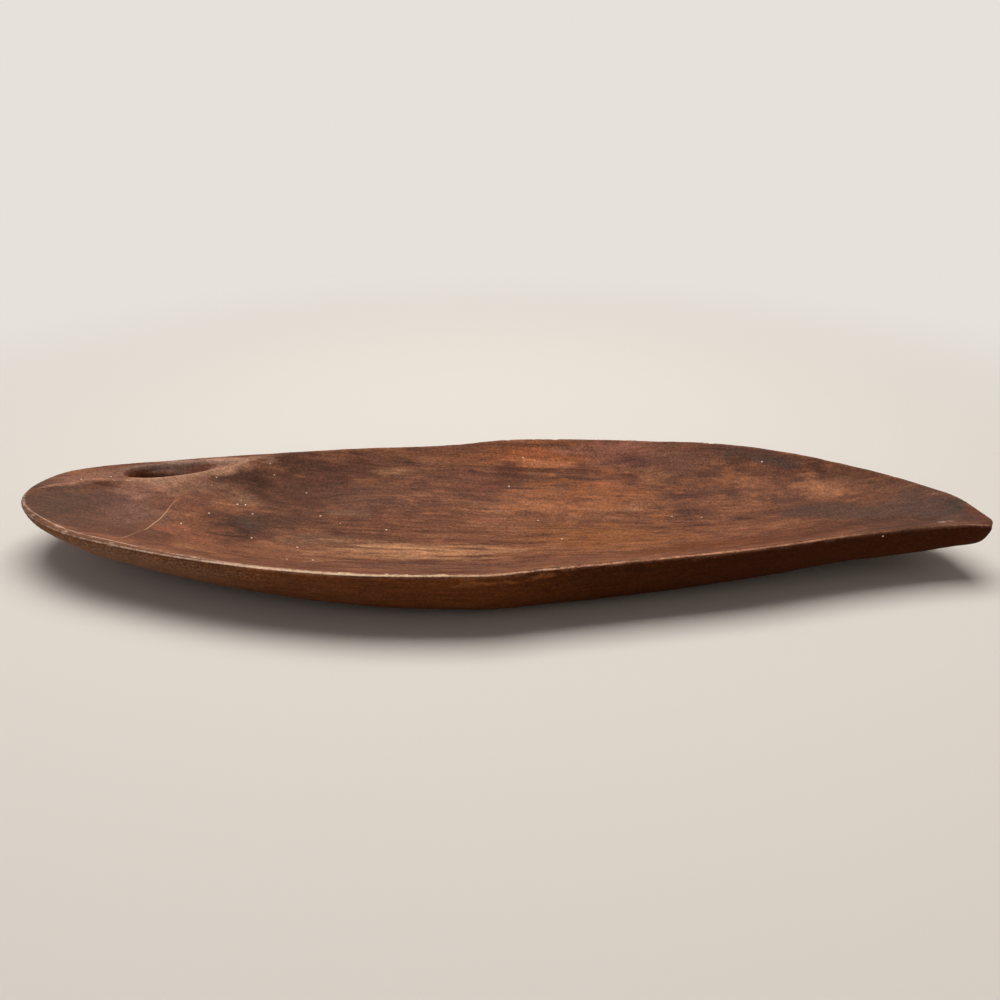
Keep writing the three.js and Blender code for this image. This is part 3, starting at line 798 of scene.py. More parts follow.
        # the rough band is dark in its hollows and pale on its crumbs
        hollow = add("ShaderNodeMapRange", {1: 0.5, 2: 0.36, 3: 0.0, 4: 0.7}, {0: fields["bark"]})
        hollow = add("ShaderNodeMath", {"operation": "MULTIPLY"}, {0: hollow, 1: marks[Mark.ROUGH]})
        colour = add(
            "ShaderNodeMix",
            {"data_type": "RGBA", "B": self.own(self.bark_dark, outside=True)},
            {"Factor": hollow, "A": colour},
        )
        crumb = add("ShaderNodeMapRange", {1: 0.5, 2: 0.66, 3: 0.0, 4: 0.5}, {0: fields["bark"]})
        crumb = add("ShaderNodeMath", {"operation": "MULTIPLY"}, {0: crumb, 1: marks[Mark.ROUGH]})
        return add(
            "ShaderNodeMix",
            {"data_type": "RGBA", "B": self.own(self.bark_pale, outside=True)},
            {"Factor": crumb, "A": colour},
        )

    def shade_grain(self, sheet: NodeSheet, grain: Socket, fields: Fields, colour: Socket) -> Socket:
        """Darkens and lightens whatever colour lies there with streaks, growth rings, pores and flecks.

        Args:
            sheet: The nodes of the material.
            grain: Coordinates that wander with the grain.
            fields: The grain's noises by name.
            colour: The wood's colour so far.

        Returns:
            The colour.
        """
        add = sheet.add
        middle = [c * MM for c in self.tree_heart]
        heart = add("ShaderNodeVectorMath", {"operation": "SUBTRACT", 1: middle}, {0: grain})
        # growth rings, cut across by the dish so that they curl round its ends; at a scale of 1 they would
        # be pi / 10 apart
        rings = add(
            "ShaderNodeTexWave",
            {
                "wave_type": "RINGS",
                "rings_direction": "X",
                "wave_profile": "SAW",
                "Scale": math.pi / 10 / (self.ring_spacing * MM),
                "Distortion": 4.0,
                "Detail": 3.0,
                "Detail Scale": 0.7,
            },
            {"Vector": heart},
            out="Fac",
        )
        # the streaks are plain in the floor of the dish and faint at both of its ends
        along = add("ShaderNodeSeparateXYZ", {}, {0: grain}, out="X")
        from_butt = add("ShaderNodeMapRange", {1: -0.24, 2: -0.13, 3: 0.25, 4: 1.0}, {0: along})
        to_tip = add("ShaderNodeMapRange", {1: 0.22, 2: 0.11, 3: 0.35, 4: 1.0}, {0: along})
        plain = add("ShaderNodeMath", {"operation": "MULTIPLY"}, {0: from_butt, 1: to_tip})
        shade = add("ShaderNodeMapRange", {1: 0.33, 2: 0.67, 3: -0.22, 4: 0.22}, {0: fields["streak"]})
        shade = add("ShaderNodeMath", {"operation": "MULTIPLY_ADD", 2: 1.0}, {0: shade, 1: plain})
        finer = add("ShaderNodeMapRange", {1: 0.32, 2: 0.68, 3: 0.64, 4: 1.36}, {0: fields["fine"]})
        cloudy = add("ShaderNodeMapRange", {1: 0.34, 2: 0.66, 3: 0.88, 4: 1.12}, {0: fields["cloud"]})
        ringed = add("ShaderNodeMapRange", {1: 0.0, 2: 1.0, 3: 0.94, 4: 1.04}, {0: rings})
        pores = add("ShaderNodeMapRange", {1: 0.6, 2: 0.7, 3: 1.0, 4: 0.82}, {0: fields["pore"]})
        for other in (finer, cloudy, ringed, pores):
            shade = add("ShaderNodeMath", {"operation": "MULTIPLY"}, {0: shade, 1: other})
        colour = add("ShaderNodeVectorMath", {"operation": "SCALE"}, {0: colour, "Scale": shade})
        flecked = add("ShaderNodeMapRange", {1: 0.58, 2: 0.7, 3: 0.0, 4: 0.3}, {0: fields["fleck"]})
        lighter = add("ShaderNodeVectorMath", {"operation": "SCALE", "Scale": 1.9}, {0: colour})
        return add("ShaderNodeMix", {"data_type": "RGBA"}, {"Factor": flecked, "A": colour, "B": lighter})

    def lay_dust_and_sheen(self, sheet: NodeSheet, marks: Marks, fields: Fields, colour: Socket) -> Socket:
        """Lays a thin grey film, partly dust and partly a painted sheen, and pale specks where dust has
        settled.

        Args:
            sheet: The nodes of the material.
            marks: The values kept on the vertices.
            fields: The grain's noises by name.
            colour: The wood's colour so far.

        Returns:
            The colour.
        """
        add = sheet.add
        dust_and_sheen_film = add("ShaderNodeMath", {"operation": "MULTIPLY", 1: 0.35}, {0: marks[Mark.DUST_AND_SHEEN]})
        colour = add(
            "ShaderNodeMix", {"data_type": "RGBA", "B": linear(self.dust_and_sheen_film)}, {"Factor": dust_and_sheen_film, "A": colour}
        )
        specks = add("ShaderNodeMapRange", {1: 0.55, 2: 0.68, 3: 0.0, 4: 0.7}, {0: fields["bark"]})
        specks = add("ShaderNodeMath", {"operation": "MULTIPLY"}, {0: specks, 1: marks[Mark.DUST_AND_SHEEN]})
        return add(
            "ShaderNodeMix",
            {"data_type": "RGBA", "B": linear(self.dusty)},
            {"Factor": specks, "A": colour},
        )

    def wear_and_highlights(
        self, sheet: NodeSheet, place: Socket, marks: Marks, fields: Fields, colour: Socket
    ) -> tuple[Socket, Socket]:
        """Shows clean wood along the rubbed edges and in the long scratch, and painted highlights on the
        lip.

        Args:
            sheet: The nodes of the material.
            place: Object coordinates.
            marks: The values kept on the vertices.
            fields: The grain's noises by name.
            colour: The wood's colour so far.

        Returns:
            The colour, and where the scratch is.
        """
        add = sheet.add
        edge_noise = add("ShaderNodeMapRange", {1: 0.38, 2: 0.6, 3: 0.3, 4: 1.0}, {0: fields["cloud"]})
        edge = add("ShaderNodeMath", {"operation": "MULTIPLY"}, {0: edge_noise, 1: marks[Mark.WORN]})
        colour = add(
            "ShaderNodeMix",
            {"data_type": "RGBA", "B": self.own(self.worn_edge)},
            {"Factor": edge, "A": colour},
        )

        # the flat of the lip is rubbed to tan near the rounded end
        on_flat = add("ShaderNodeMapRange", {1: 0.0, 2: 0.7}, {0: marks[Mark.LIP_OUTER]})
        not_past = add("ShaderNodeMapRange", {1: 0.5, 2: -0.3}, {0: marks[Mark.LIP_INNER]})
        flat = marks[Mark.LIP_INNER_SHINE]
        for other in (on_flat, not_past, edge_noise):
            flat = add("ShaderNodeMath", {"operation": "MULTIPLY"}, {0: flat, 1: other})
        flat = add("ShaderNodeMath", {"operation": "MULTIPLY", 1: 0.7, "use_clamp": True}, {0: flat})
        colour = add(
            "ShaderNodeMix",
            {"data_type": "RGBA", "B": self.own(self.lip_tan)},
            {"Factor": flat, "A": colour},
        )
        # dirt has gathered along the foot of the lip
        dirty = add("ShaderNodeMapRange", {1: 0.36, 2: 0.56, 3: 0.55, 4: 1.0}, {0: fields["cloud"]})
        dirty = add("ShaderNodeMath", {"operation": "MULTIPLY"}, {0: dirty, 1: marks[Mark.GRIME]})
        colour = add(
            "ShaderNodeMix",
            {"data_type": "RGBA", "B": self.own(self.grime)},
            {"Factor": dirty, "A": colour},
        )
        # two bright lines, one on each edge of the lip, that run together where it is thin; worn wood with a
        # painted highlight
        lines = []
        for mark, shine, half in (
            (Mark.LIP_OUTER, Mark.LIP_SHINE, 1.0),
            (Mark.LIP_INNER, Mark.LIP_INNER_SHINE, self.inner_line),
        ):
            off = add("ShaderNodeMath", {"operation": "ABSOLUTE"}, {0: marks[mark]})
            here = add("ShaderNodeMapRange", {1: half * 1.35, 2: half * 0.65}, {0: off})
            lines.append(add("ShaderNodeMath", {"operation": "MULTIPLY"}, {0: here, 1: marks[shine]}))
        line = add("ShaderNodeMath", {"operation": "MAXIMUM"}, {0: lines[0], 1: lines[1]})
        gone = add("ShaderNodeMapRange", {1: 0.52, 2: 0.47}, {0: fields["chip"]})
        gone = add("ShaderNodeMath", {"operation": "MULTIPLY"}, {0: gone, 1: marks[Mark.LIP_BROKEN]})
        left = add("ShaderNodeMath", {"operation": "SUBTRACT", 0: 1.0}, {1: gone})
        uneven = add("ShaderNodeMapRange", {1: 0.35, 2: 0.6, 3: 0.55, 4: 1.0}, {0: fields["cloud"]})
        flecky = add("ShaderNodeMapRange", {1: 0.4, 2: 0.56, 3: 0.6, 4: 1.0}, {0: fields["fine"]})
        for other in (left, uneven, flecky):
            line = add("ShaderNodeMath", {"operation": "MULTIPLY"}, {0: line, 1: other})
        line = add("ShaderNodeMath", {"operation": "MULTIPLY", 1: 2.0, "use_clamp": True}, {0: line})
        # clean wood with a painted highlight is peach in the middle, greyer at the rounded end and redder
        # towards the tip
        along = add("ShaderNodeSeparateXYZ", {}, {0: place}, out="X")
        tipwards = add("ShaderNodeMapRange", {1: -0.35, 2: 0.35}, {0: along})
        stops = [(at, linear(code)) for at, code in self.bare_wood_and_highlight]
        bare = add("ShaderNodeValToRGB", {"stops": stops}, {"Fac": tipwards})
        colour = add("ShaderNodeMix", {"data_type": "RGBA"}, {"Factor": line, "A": colour, "B": bare})

        off = add("ShaderNodeMath", {"operation": "ABSOLUTE"}, {0: marks[Mark.SCRATCH]})
        cut = add("ShaderNodeMapRange", {1: self.scratch_half, 2: self.scratch_half * 0.35}, {0: off})
        cut = add("ShaderNodeMath", {"operation": "MULTIPLY"}, {0: cut, 1: marks[Mark.SCRATCH_RUN]})
        colour = add(
            "ShaderNodeMix",
            {"data_type": "RGBA", "B": linear(self.scratched)},
            {"Factor": cut, "A": colour},
        )
        return colour, cut


@dataclass(frozen=True)
class PaintSpeck:
    """Old house paint, spattered and dried. It gives the eye tiny chalky dots.

    Attributes:
        colour: The paint's own colour.
        roughness: Its roughness.
        chalk_size: Size of the chalky unevenness.
    """

    colour: str = "#F4E6D6"
    roughness: float = 0.7
    chalk_size: float = 0.9

    def build(self) -> bpy.types.Material:
        """Lays out the nodes.

        Returns:
            The material.
        """
        material = bpy.data.materials.new("dried_paint")
        add = NodeSheet(material).add
        place = add("ShaderNodeTexCoord", out="Object")
        chalk = add(
            "ShaderNodeTexNoise", {"Scale": 1000 / self.chalk_size, "Detail": 2.0}, {"Vector": place}
        )
        shade = add("ShaderNodeMapRange", {1: 0.3, 2: 0.7, 3: 0.8, 4: 1.05}, {0: chalk})
        plain = linear(self.colour)[:3]
        colour = add("ShaderNodeVectorMath", {"operation": "SCALE", 0: plain}, {"Scale": shade})
        shader = add("ShaderNodeBsdfPrincipled", {"Roughness": self.roughness}, {"Base Color": colour})
        add("ShaderNodeOutputMaterial", {}, {"Surface": shader})
        return material


@dataclass(frozen=True)
class PaleFloor:
    """Matt pale card, as rolled out under small objects in a studio. It gives the eye an even ground.

    Attributes:
        colour: The card's own colour.
        far_colour: How it is seen beyond the lamps' reach.
        roughness: Its roughness.
        fade_from: Distance from the tray at which the one starts to turn into the other.
        fade_to: Distance at which it has.
    """

    colour: str = "#E6E2DC"
    far_colour: str = "#E6E1DA"
    roughness: float = 0.85
    fade_from: float = 420.0
    fade_to: float = 1000.0

    def build(self) -> bpy.types.Material:
        """Lays out the nodes.

        Returns:
            The material.
        """
        material = bpy.data.materials.new("matt_card")
        sheet = NodeSheet(material)
        add = sheet.add
        card = add(
            "ShaderNodeBsdfPrincipled", {"Roughness": self.roughness, "Base Color": linear(self.colour)}
        )
        # beyond the lamps' reach the card is seen as evenly pale
        far = add("ShaderNodeEmission", {"Color": linear(self.far_colour), "Strength": 1.0})
        place = add("ShaderNodeTexCoord", out="Object")
        away = add("ShaderNodeVectorMath", {"operation": "LENGTH"}, {0: place}, out="Value")
        span = {1: self.fade_from * MM, 2: self.fade_to * MM}
        share = add("ShaderNodeMapRange", {"interpolation_type": "SMOOTHSTEP", **span}, {0: away})
        share = add("ShaderNodeMath", {"operation": "MULTIPLY"}, {0: share, 1: sheet.seen_rays()})
        shader = add("ShaderNodeMixShader", {}, {0: share, 1: card, 2: far})
        add("ShaderNodeOutputMaterial", {}, {"Surface": shader})
        return material


@dataclass(frozen=True)
class Nick:
    """A small piece broken or pressed out of the lip.

    Attributes:
        side: Which long side it is on.
        along: Its place along the tray.
        half: Half its length.
        depth: How deep it goes.
        below: How far below the lip's edge its middle is.
    """

    side: Side
    along: float
    half: float
    depth: float
    below: float = 0.0


@dataclass
class TrayBody:
    """The carved board itself, from the rounded end with the finger slot to the pointed tip.

    A curve is a list of places along the tray, from the rounded end to the tip, each with a value.

    Attributes:
        node: The CAD node that it stands for.
        name: The piece's name.
        voxel: Size of the cells of the new mesh.
        outline_step: Space between the points that are kept of the outline.
        crisp_step: Space between those that are kept of a crisp edge.
        crisp_angle: An edge that turns by more degrees than this stays crisp.
        crisp_reach: The surface is kept as it is this near a crisp edge.
        soft_reach: It is fully smoothed from this far away.
        soft_steps: How often it is smoothed.
        most_triangles: Most triangles that the mesh may keep.
        dish_wave: Height of the shallow hollows in the dish.
        dish_wave_size: Their size along the tray, across it and upwards.
        gouge: Depth of the gouge cuts on the belly.
        gouge_size: Their size.
        gouge_edge: How sharply they meet; more is sharper.
        lip_wave: Height of the lip's rise and fall.
        lip_wave_size: Length of one rise and fall.
        lip_wave_reach: How far from the lip it fades.
        rough_depth: Height of the roughness on the outer band.
        rough_size: Its size.
        rough_from: Where the rough band starts.
        rough_to: Where it ends.
        ridge: Line of the soft ridge between the flat rounded end and the dish.
        ridge_height: Its height.
        ridge_half: Half its width, about.
        ridge_hollow: Depth of the hollow beside it.
        ridge_hollow_reach: Distances from the ridge at which the hollow is deepest, and at which it ends.
        belly_hang: How much lower the belly hangs; a curve.
        nose_span: The nose is made fuller from the first place to the second.
        nose_bulge: How much fuller it is on the far side.
        nose_chin: How much fuller it is below the lip.
        blunt_nose: Past the first place and below the second height, no edge of the nose stays crisp.
        fold: Between these places the slot's far edge is rounded into a fold.
        fold_above: It is above this height.
        fold_inset: It is between these distances in from the outline.
        lip_near: Where the near side ends across the tray, at the rounded end and at the tip.
        lip_widths: Width of the lip; a curve.
        line_place: Places along the tray, with how far the bright line on the lip's outer edge, worn wood
            with
        a painted highlight, lies in from that edge, and half the line's width.
        outer_shine: How bright that line is; a curve.
        inner_shine: How bright the one on the inner edge is; a curve.
        broken_line: How far both are broken up; a curve.
        tip_grime: How much dirt lies in the broad band along the near lip, towards the tip; a curve.
        line_grime: How much lies in the thin dark line beside the bright one; a curve.
        scratch: Line of the long scratch.
        scratch_shine: How bright it is at each of its points.
        scratch_depth: Its depth.
        scratch_half: Half the width of its groove.
        nicks: The nicks that the photograph shows.
        nick_reach: How far a nick reaches across the lip.
        small_nicks: How many smaller ones there are.
        lip: Points along the tray's outline.
        lip_inward: The level direction into the tray at each of them.
        lip_tree: Finds the nearest of them, seen from above.
    """

    node: str = "tray"
    name: str = "tray_wood"
    voxel: float = 1.0
    quick_coarser: float = 1.6
    outline_step: float = 0.7
    crisp_step: float = 1.5
    crisp_angle: float = 27.0
    crisp_reach: float = 2.5
    soft_reach: float = 12.0
    soft_steps: int = 110
    most_triangles: int = 188000
    dish_wave: float = 0.32
    dish_wave_size: Point = (58.0, 25.0, 25.0)
    gouge: float = 0.5
    gouge_size: Point = (36.0, 17.0, 17.0)
    gouge_edge: float = 9.0
    lip_wave: float = 0.4
    lip_wave_size: float = 42.0
    lip_wave_reach: float = 9.0
    rough_depth: float = 0.4
    rough_size: Point = (4.5, 2.6, 2.2)
    rough_from: float = -338.0
    rough_to: float = -150.0
    ridge: Curve = (
        (-343.1, 1.8), (-336.6, 7.0), (-329.5, 11.7), (-322.8, 15.3), (-317.2, 19.7), (-311.9, 21.2),
        (-299.6, 20.8), (-290.7, 20.8), (-283.6, 22.3),
    )
    ridge_height: float = 0.5
    ridge_half: float = 3.0
    ridge_hollow: float = 1.2
    ridge_hollow_reach: tuple[float, float] = (6.0, 34.0)
    belly_hang: Curve = (
        (150, 0.0), (200, 0.8), (245, 1.1), (280, 2.8), (305, 2.8), (328, 0.9), (342, 0.0),
    )
    nose_span: tuple[float, float] = (328.0, 340.0)
    nose_bulge: float = 1.6
    nose_chin: float = 1.0
    blunt_nose: tuple[float, float] = (318.0, 44.0)
    fold: tuple[float, float] = (-252.0, -205.0)
    fold_above: float = 34.0
    fold_inset: tuple[float, float] = (3.0, 9.5)
    lip_near: tuple[float, float] = (0.0, -14.0)
    lip_widths: Curve = ((-345, 2.2), (-318, 4.2), (-100, 2.6))
    line_place: tuple[tuple[float, float, float], ...] = (
        (-345, 0.4, 0.6), (-230, 0.6, 0.65), (-190, 1.1, 0.65), (-165, 1.6, 0.75), (-85, 1.65, 0.8),
        (-19, 1.6, 0.8), (29, 1.35, 0.75), (55, 1.2, 0.75), (150, 1.2, 0.75), (300, 1.0, 0.7),
        (345, 1.1, 0.6),
    )
    outer_shine: Curve = (
        (-345, 0.3), (-290, 0.45), (-257, 0.75), (-227, 0.9), (-190, 0.75), (-180, 1.15), (-150, 1.15),
        (-139, 0.75), (-123, 1.15), (-106, 0.85), (-91, 1.15), (-60, 1.15), (-45, 0.7), (-30, 0.8),
        (-14, 0.7), (5, 0.8), (20, 0.8), (35, 0.7), (52, 0.6), (64, 0.6), (97, 0.9), (115, 0.65),
        (128, 0.9), (146, 1.0), (163, 0.6), (216, 0.6), (234, 0.45), (252, 0.3), (270, 0.2), (290, 0.08),
        (304, 0.2), (325, 0.35), (333, 1.1), (341, 1.1), (345, 0.2),
    )
    inner_shine: Curve = ((-345, 0.4), (-300, 0.5), (-200, 0.6), (-150, 0.4), (-110, 0.15), (-80, 0.0))
    broken_line: Curve = (
        (-345, 0.6), (-230, 0.7), (-190, 0.5), (-120, 0.35), (-60, 0.3), (5, 0.2), (20, 0.75), (110, 0.75),
        (140, 0.4), (345, 0.35),
    )
    tip_grime: Curve = ((45, 0.0), (70, 0.85), (250, 0.85), (345, 0.425))
    line_grime: Curve = ((-200, 0.0), (-170, 0.45), (20, 0.45), (50, 0.0))
    scratch: Curve = (
        (-241.8, 15.0), (-243.8, 9.8), (-244.8, 6.2), (-245.0, 1.8), (-244.6, -3.5), (-244.9, -7.3),
        (-244.5, -12.4), (-245.0, -16.5), (-245.9, -21.6), (-246.5, -28.9), (-246.7, -32.3),
        (-247.7, -34.9), (-249.0, -37.5), (-249.5, -41.6), (-250.3, -50.0), (-250.9, -55.0),
        (-253.3, -56.8), (-258.2, -57.1), (-261.8, -58.1),
    )
    scratch_shine: tuple[float, ...] = (
        0.0, 0.5, 0.55, 0.6, 0.95, 1.0, 1.0, 1.0, 1.0, 0.95, 0.7, 0.15, 0.35, 0.35, 0.6, 0.65, 0.5, 0.35,
        0.0,
    )
    scratch_depth: float = 0.22
    scratch_half: float = 0.8
    nicks: tuple[Nick, ...] = (
        Nick(Side.FAR, 176.0, 3.2, 0.9),
        Nick(Side.FAR, 171.0, 1.8, 0.5),
        Nick(Side.NEAR, -18.0, 5.0, 0.7, 2.5),
        Nick(Side.NEAR, 4.0, 3.0, 0.6, 2.0),
        Nick(Side.NEAR, 26.0, 2.2, 0.7),
        Nick(Side.NEAR, 41.0, 3.5, 0.8),
        Nick(Side.NEAR, 58.0, 2.0, 0.6),
        Nick(Side.NEAR, 73.0, 3.0, 0.7),
        Nick(Side.NEAR, 92.0, 2.0, 0.5),
    )
    nick_reach: float = 3.0
    small_nicks: int = 46
    lip: np.ndarray = field(init=False, repr=False)
    lip_inward: np.ndarray = field(init=False, repr=False)
    lip_tree: KDTree = field(init=False, repr=False)

    def build(self) -> bpy.types.Object:
        """Makes the tray's visible shape, and marks what its finish needs.

        Returns:
            The finished piece.
        """
        piece = self.copy_frame_shape()
        self.trace_lip(piece)
        crisp = self.crisp_places(piece)
        voxel = self.voxel * 1.0
        apply_modifier(piece, "REMESH", mode="VOXEL", voxel_size=voxel * MM, use_smooth_shade=True)
        self.soften(piece, crisp)
        self.carve(piece)
        triangles = sum(len(p.vertices) - 2 for p in piece.data.polygons)
        if triangles > self.most_triangles:
            apply_modifier(piece, "DECIMATE", ratio=self.most_triangles / triangles)
        select_only(piece)
        bpy.ops.object.shade_smooth()
        wood = OiledHardwood()
        self.mark(piece, wood)
        piece.data.materials.clear()
        piece.data.materials.append(wood.build())
        return piece

    def copy_frame_shape(self) -> bpy.types.Object:
        """Copies the CAD node and merges its loose triangles.

        Returns:
            The copy.
        """
        select_only(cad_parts[self.node])
        bpy.ops.object.duplicate(linked=False)
        piece = bpy.context.view_layer.objects.active
        piece.name = piece.data.name = self.name
        piece.parent = None
        for key in [k for k in piece.keys() if k.startswith("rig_")]:
            del piece[key]
        select_only(piece)
        bpy.ops.object.mode_set(mode="EDIT")
        bpy.ops.mesh.select_all(action="SELECT")
        bpy.ops.mesh.remove_doubles(threshold=1e-6)
        bpy.ops.object.mode_set(mode="OBJECT")
        return piece

    def trace_lip(self, piece: bpy.types.Object) -> None:
        """Follows the tray's outline, where the surface turns from facing up to facing down.

        Args:
            piece: The merged copy of the CAD tray.
        """
        corners = self.outline_corners(piece)
        points, inward = [], []
        for a, b in zip(corners, corners[1:] + corners[:1]):
            count = max(1, round((b - a).length / self.outline_step))
            across = Vector((a.y - b.y, b.x - a.x, 0)).normalized()
            points += [a.lerp(b, i / count) for i in range(count)]
            inward += [across] * count
        self.lip = np.array(points)
        self.lip_inward = np.array(inward)
        # the walk may go round either way, so a point far ahead of the start tells which side is inward
        if np.cross(self.lip[1] - self.lip[0], self.lip[400] - self.lip[0])[2] < 0:
            self.lip_inward *= -1
        self.lip_tree = KDTree(len(points))
        for i, p in enumerate(points):
            self.lip_tree.insert((p.x, p.y, 0), i)
        self.lip_tree.balance()
        length = sum((b - a).length for a, b in zip(corners, corners[1:]))
        log.info("outline: %d corners, %.0f mm round", len(corners), length)

    def outline_corners(self, piece: bpy.types.Object) -> list[Vector]:
        """Walks once round the edges that have one face up and one face down.

        Args:
            piece: The merged copy of the CAD tray.

        Returns:
            The corners of the outline in order, from the rounded end.
        """
        mesh = bmesh.new()
        mesh.from_mesh(piece.data)
        mesh.normal_update()
        beside: dict[int, list[int]] = {}
        for edge in mesh.edges:
            up = [face.normal.z > 1e-6 for face in edge.link_faces]
            if len(up) == 2 and up[0] != up[1]:
                a, b = (v.index for v in edge.verts)
                beside.setdefault(a, []).append(b)
                beside.setdefault(b, []).append(a)
        places = [v.co.copy() / MM for v in mesh.verts]
        mesh.free()
        start = min(beside, key=lambda i: places[i].x)
        walk = [start]
        last = None
        while True:
            ahead = [i for i in beside[walk[-1]] if i != last and (i == start or i not in walk)]
            last = walk[-1]
            if not ahead or ahead[0] == start:
                break
            walk.append(ahead[0])
        return [places[i] for i in walk]

    def crisp_places(self, piece: bpy.types.Object) -> KDTree:
        """Finds the edges that stay crisp: the lip's, the finger slot's and the foot of the outer band.

        Args:
            piece: The merged copy of the CAD tray.

        Returns:
            A tree of points along them.
        """
        mesh = bmesh.new()
        mesh.from_mesh(piece.data)
        points: list[Vector] = []
        for edge in mesh.edges:
            if len(edge.link_faces) == 2 and edge.calc_face_angle(0) > math.radians(self.crisp_angle):
                a, b = (v.co / MM for v in edge.verts)
                count = max(1, round((b - a).length / self.crisp_step))
                points += [a.lerp(b, i / count) for i in range(count + 1)]
        mesh.free()
        blunt_from, blunt_below = self.blunt_nose
        points = [p for p in points if not self.on_fold(p) and not (p.x > blunt_from and p.z < blunt_below)]
        tree = KDTree(len(points))
        for i, p in enumerate(points):
            tree.insert(p, i)
        tree.balance()
        return tree

    def on_fold(self, place: Vector) -> bool:
        """Says whether a place is on the slot's far edge beside the ramp, which is rounded into a fold.

        Args:
            place: The place in millimetres.

        Returns:
            Whether it is.
        """
        if not self.fold[0] < place.x < self.fold[1] or place.z < self.fold_above:
            return False
        return self.fold_inset[0] < self.lip_tree.find((place.x, place.y, 0))[2] < self.fold_inset[1]

    def soften(self, piece: bpy.types.Object, crisp: KDTree) -> None:
        """Smooths away the flat facets of the CAD surface, but not near its crisp edges.

        Args:
            piece: The remeshed tray.
            crisp: The edges to keep.
        """
        away = np.array([crisp.find(v.co / MM)[2] for v in piece.data.vertices])
        weight = ease(self.crisp_reach, self.soft_reach, away)
        group = piece.vertex_groups.new(name="soft")
        levels = np.round(weight * 20).astype(int)
        for level in range(1, 21):
            group.add(np.flatnonzero(levels == level).tolist(), level / 20, "REPLACE")
        steps = round(self.soft_steps / (1.0))
        # smoothing shrinks what bulges, so the broad part of each move is smoothed out of it and given back
        size = len(piece.data.vertices) * 3
        before, after, broad = np.empty((3, size), np.float32)
        piece.data.vertices.foreach_get("co", before)
        apply_modifier(piece, "SMOOTH", factor=0.5, iterations=steps, vertex_group="soft")
        piece.data.vertices.foreach_get("co", after)
        piece.data.vertices.foreach_set("co", after - before)
        apply_modifier(piece, "SMOOTH", factor=0.5, iterations=steps, vertex_group="soft")
        piece.data.vertices.foreach_get("co", broad)
        piece.data.vertices.foreach_set("co", after - broad)
        piece.data.update()
        piece.vertex_groups.clear()

    def measure(self, piece: bpy.types.Object) -> dict[str, np.ndarray]:
        """Measures where each vertex lies against the lip.

        Args:
            piece: The tray.

        Returns:
            Arrays by name: places, normals, the nearest lip point's index, the distance in from it and the
            height over it. Lengths are in millimetres.
        """
        count = len(piece.data.vertices)
        places, normals = np.empty(count * 3), np.empty(count * 3)
        piece.data.vertices.foreach_get("co", places)
        piece.data.vertices.foreach_get("normal", normals)
        places = places.reshape(-1, 3) / MM
        nearest = np.array([self.lip_tree.find((x, y, 0))[1] for x, y, _ in places.tolist()])
        gap = places - self.lip[nearest]
        gap_in_plan = np.hypot(gap[:, 0], gap[:, 1])
        inside = np.einsum("ij,ij->i", gap, self.lip_inward[nearest]) >= 0
        return {
            "places": places,
            "normals": normals.reshape(-1, 3),
            "nearest": nearest,
            "in": np.where(inside, gap_in_plan, -gap_in_plan),
            "over": gap[:, 2],
        }

    def carve(self, piece: bpy.types.Object) -> None:
        """Moves the surface as the gouge, years of use and accidents did.

        Args:
            piece: The softened tray.
        """
        size = self.measure(piece)
        outside = self.outer_places(size)
        moved = self.gouge_surface(size, outside)
        # the belly hangs a little lower towards the tip
        hang = along_curve(size["places"][:, 0], self.belly_hang)
        moved[:, 2] -= hang * ease(-4, -9, size["over"]) * outside
        self.wear_lip(moved, size)
        self.raise_ridge(moved, size, outside)
        self.fill_nose(moved, size)
        self.cut_nicks(moved)
        across, shine = self.beside_scratch(size["places"])
        groove = np.exp(-((across / self.scratch_half) ** 2)) * shine * ~outside
        moved[:, 2] -= groove * self.scratch_depth
        lowest, highest = (np.array(corner) / MM for corner in cad_box)
        moved = np.clip(moved, lowest, highest)
        piece.data.vertices.foreach_set("co", (moved * MM).ravel())
        piece.data.update()

    def gouge_surface(self, size: dict[str, np.ndarray], outside: np.ndarray) -> np.ndarray:
        """Leaves the marks of the gouge on the dish, the belly and the outer band.

        Args:
            size: What was measured.
            outside: Which vertices are on the outer band or the belly.

        Returns:
            The vertices, moved.
        """
        places, normals, inset, over = size["places"], size["normals"], size["in"], size["over"]
        # hollows and cuts fade out towards the lip
        off_edge = ease(0.5, 7.0, np.maximum(inset, -over))
        # the dish: long shallow hollows, rubbed smooth
        wave = ripple(places, self.dish_wave_size, 2)
        push = np.where(outside, 0, wave * self.dish_wave)
        # the belly: cuts that meet in soft ridges, but not on the flat base
        cells = [noise.voronoi(p)[0] for p in (places[outside] / np.array(self.gouge_size)).tolist()]
        first, second = np.array([c[0] for c in cells]) ** 2, np.array([c[1] for c in cells]) ** 2
        edge = self.gouge_edge
        cut = -np.log(np.exp(-edge * first) + np.exp(-edge * second)) / edge
        on_base = places[outside, 2] < 0.6
        push[outside] = np.where(on_base, 0, (cut - 0.35) * self.gouge)
        moved = places + normals * (push * off_edge)[:, None]
        # the outer band near the rounded end was never dressed smooth
        rough = self.roughness_share(places, inset, over)
        grit = ripple(places, self.rough_size, 3)
        return moved + normals * (np.minimum(grit, 0.2) * rough * self.rough_depth)[:, None]

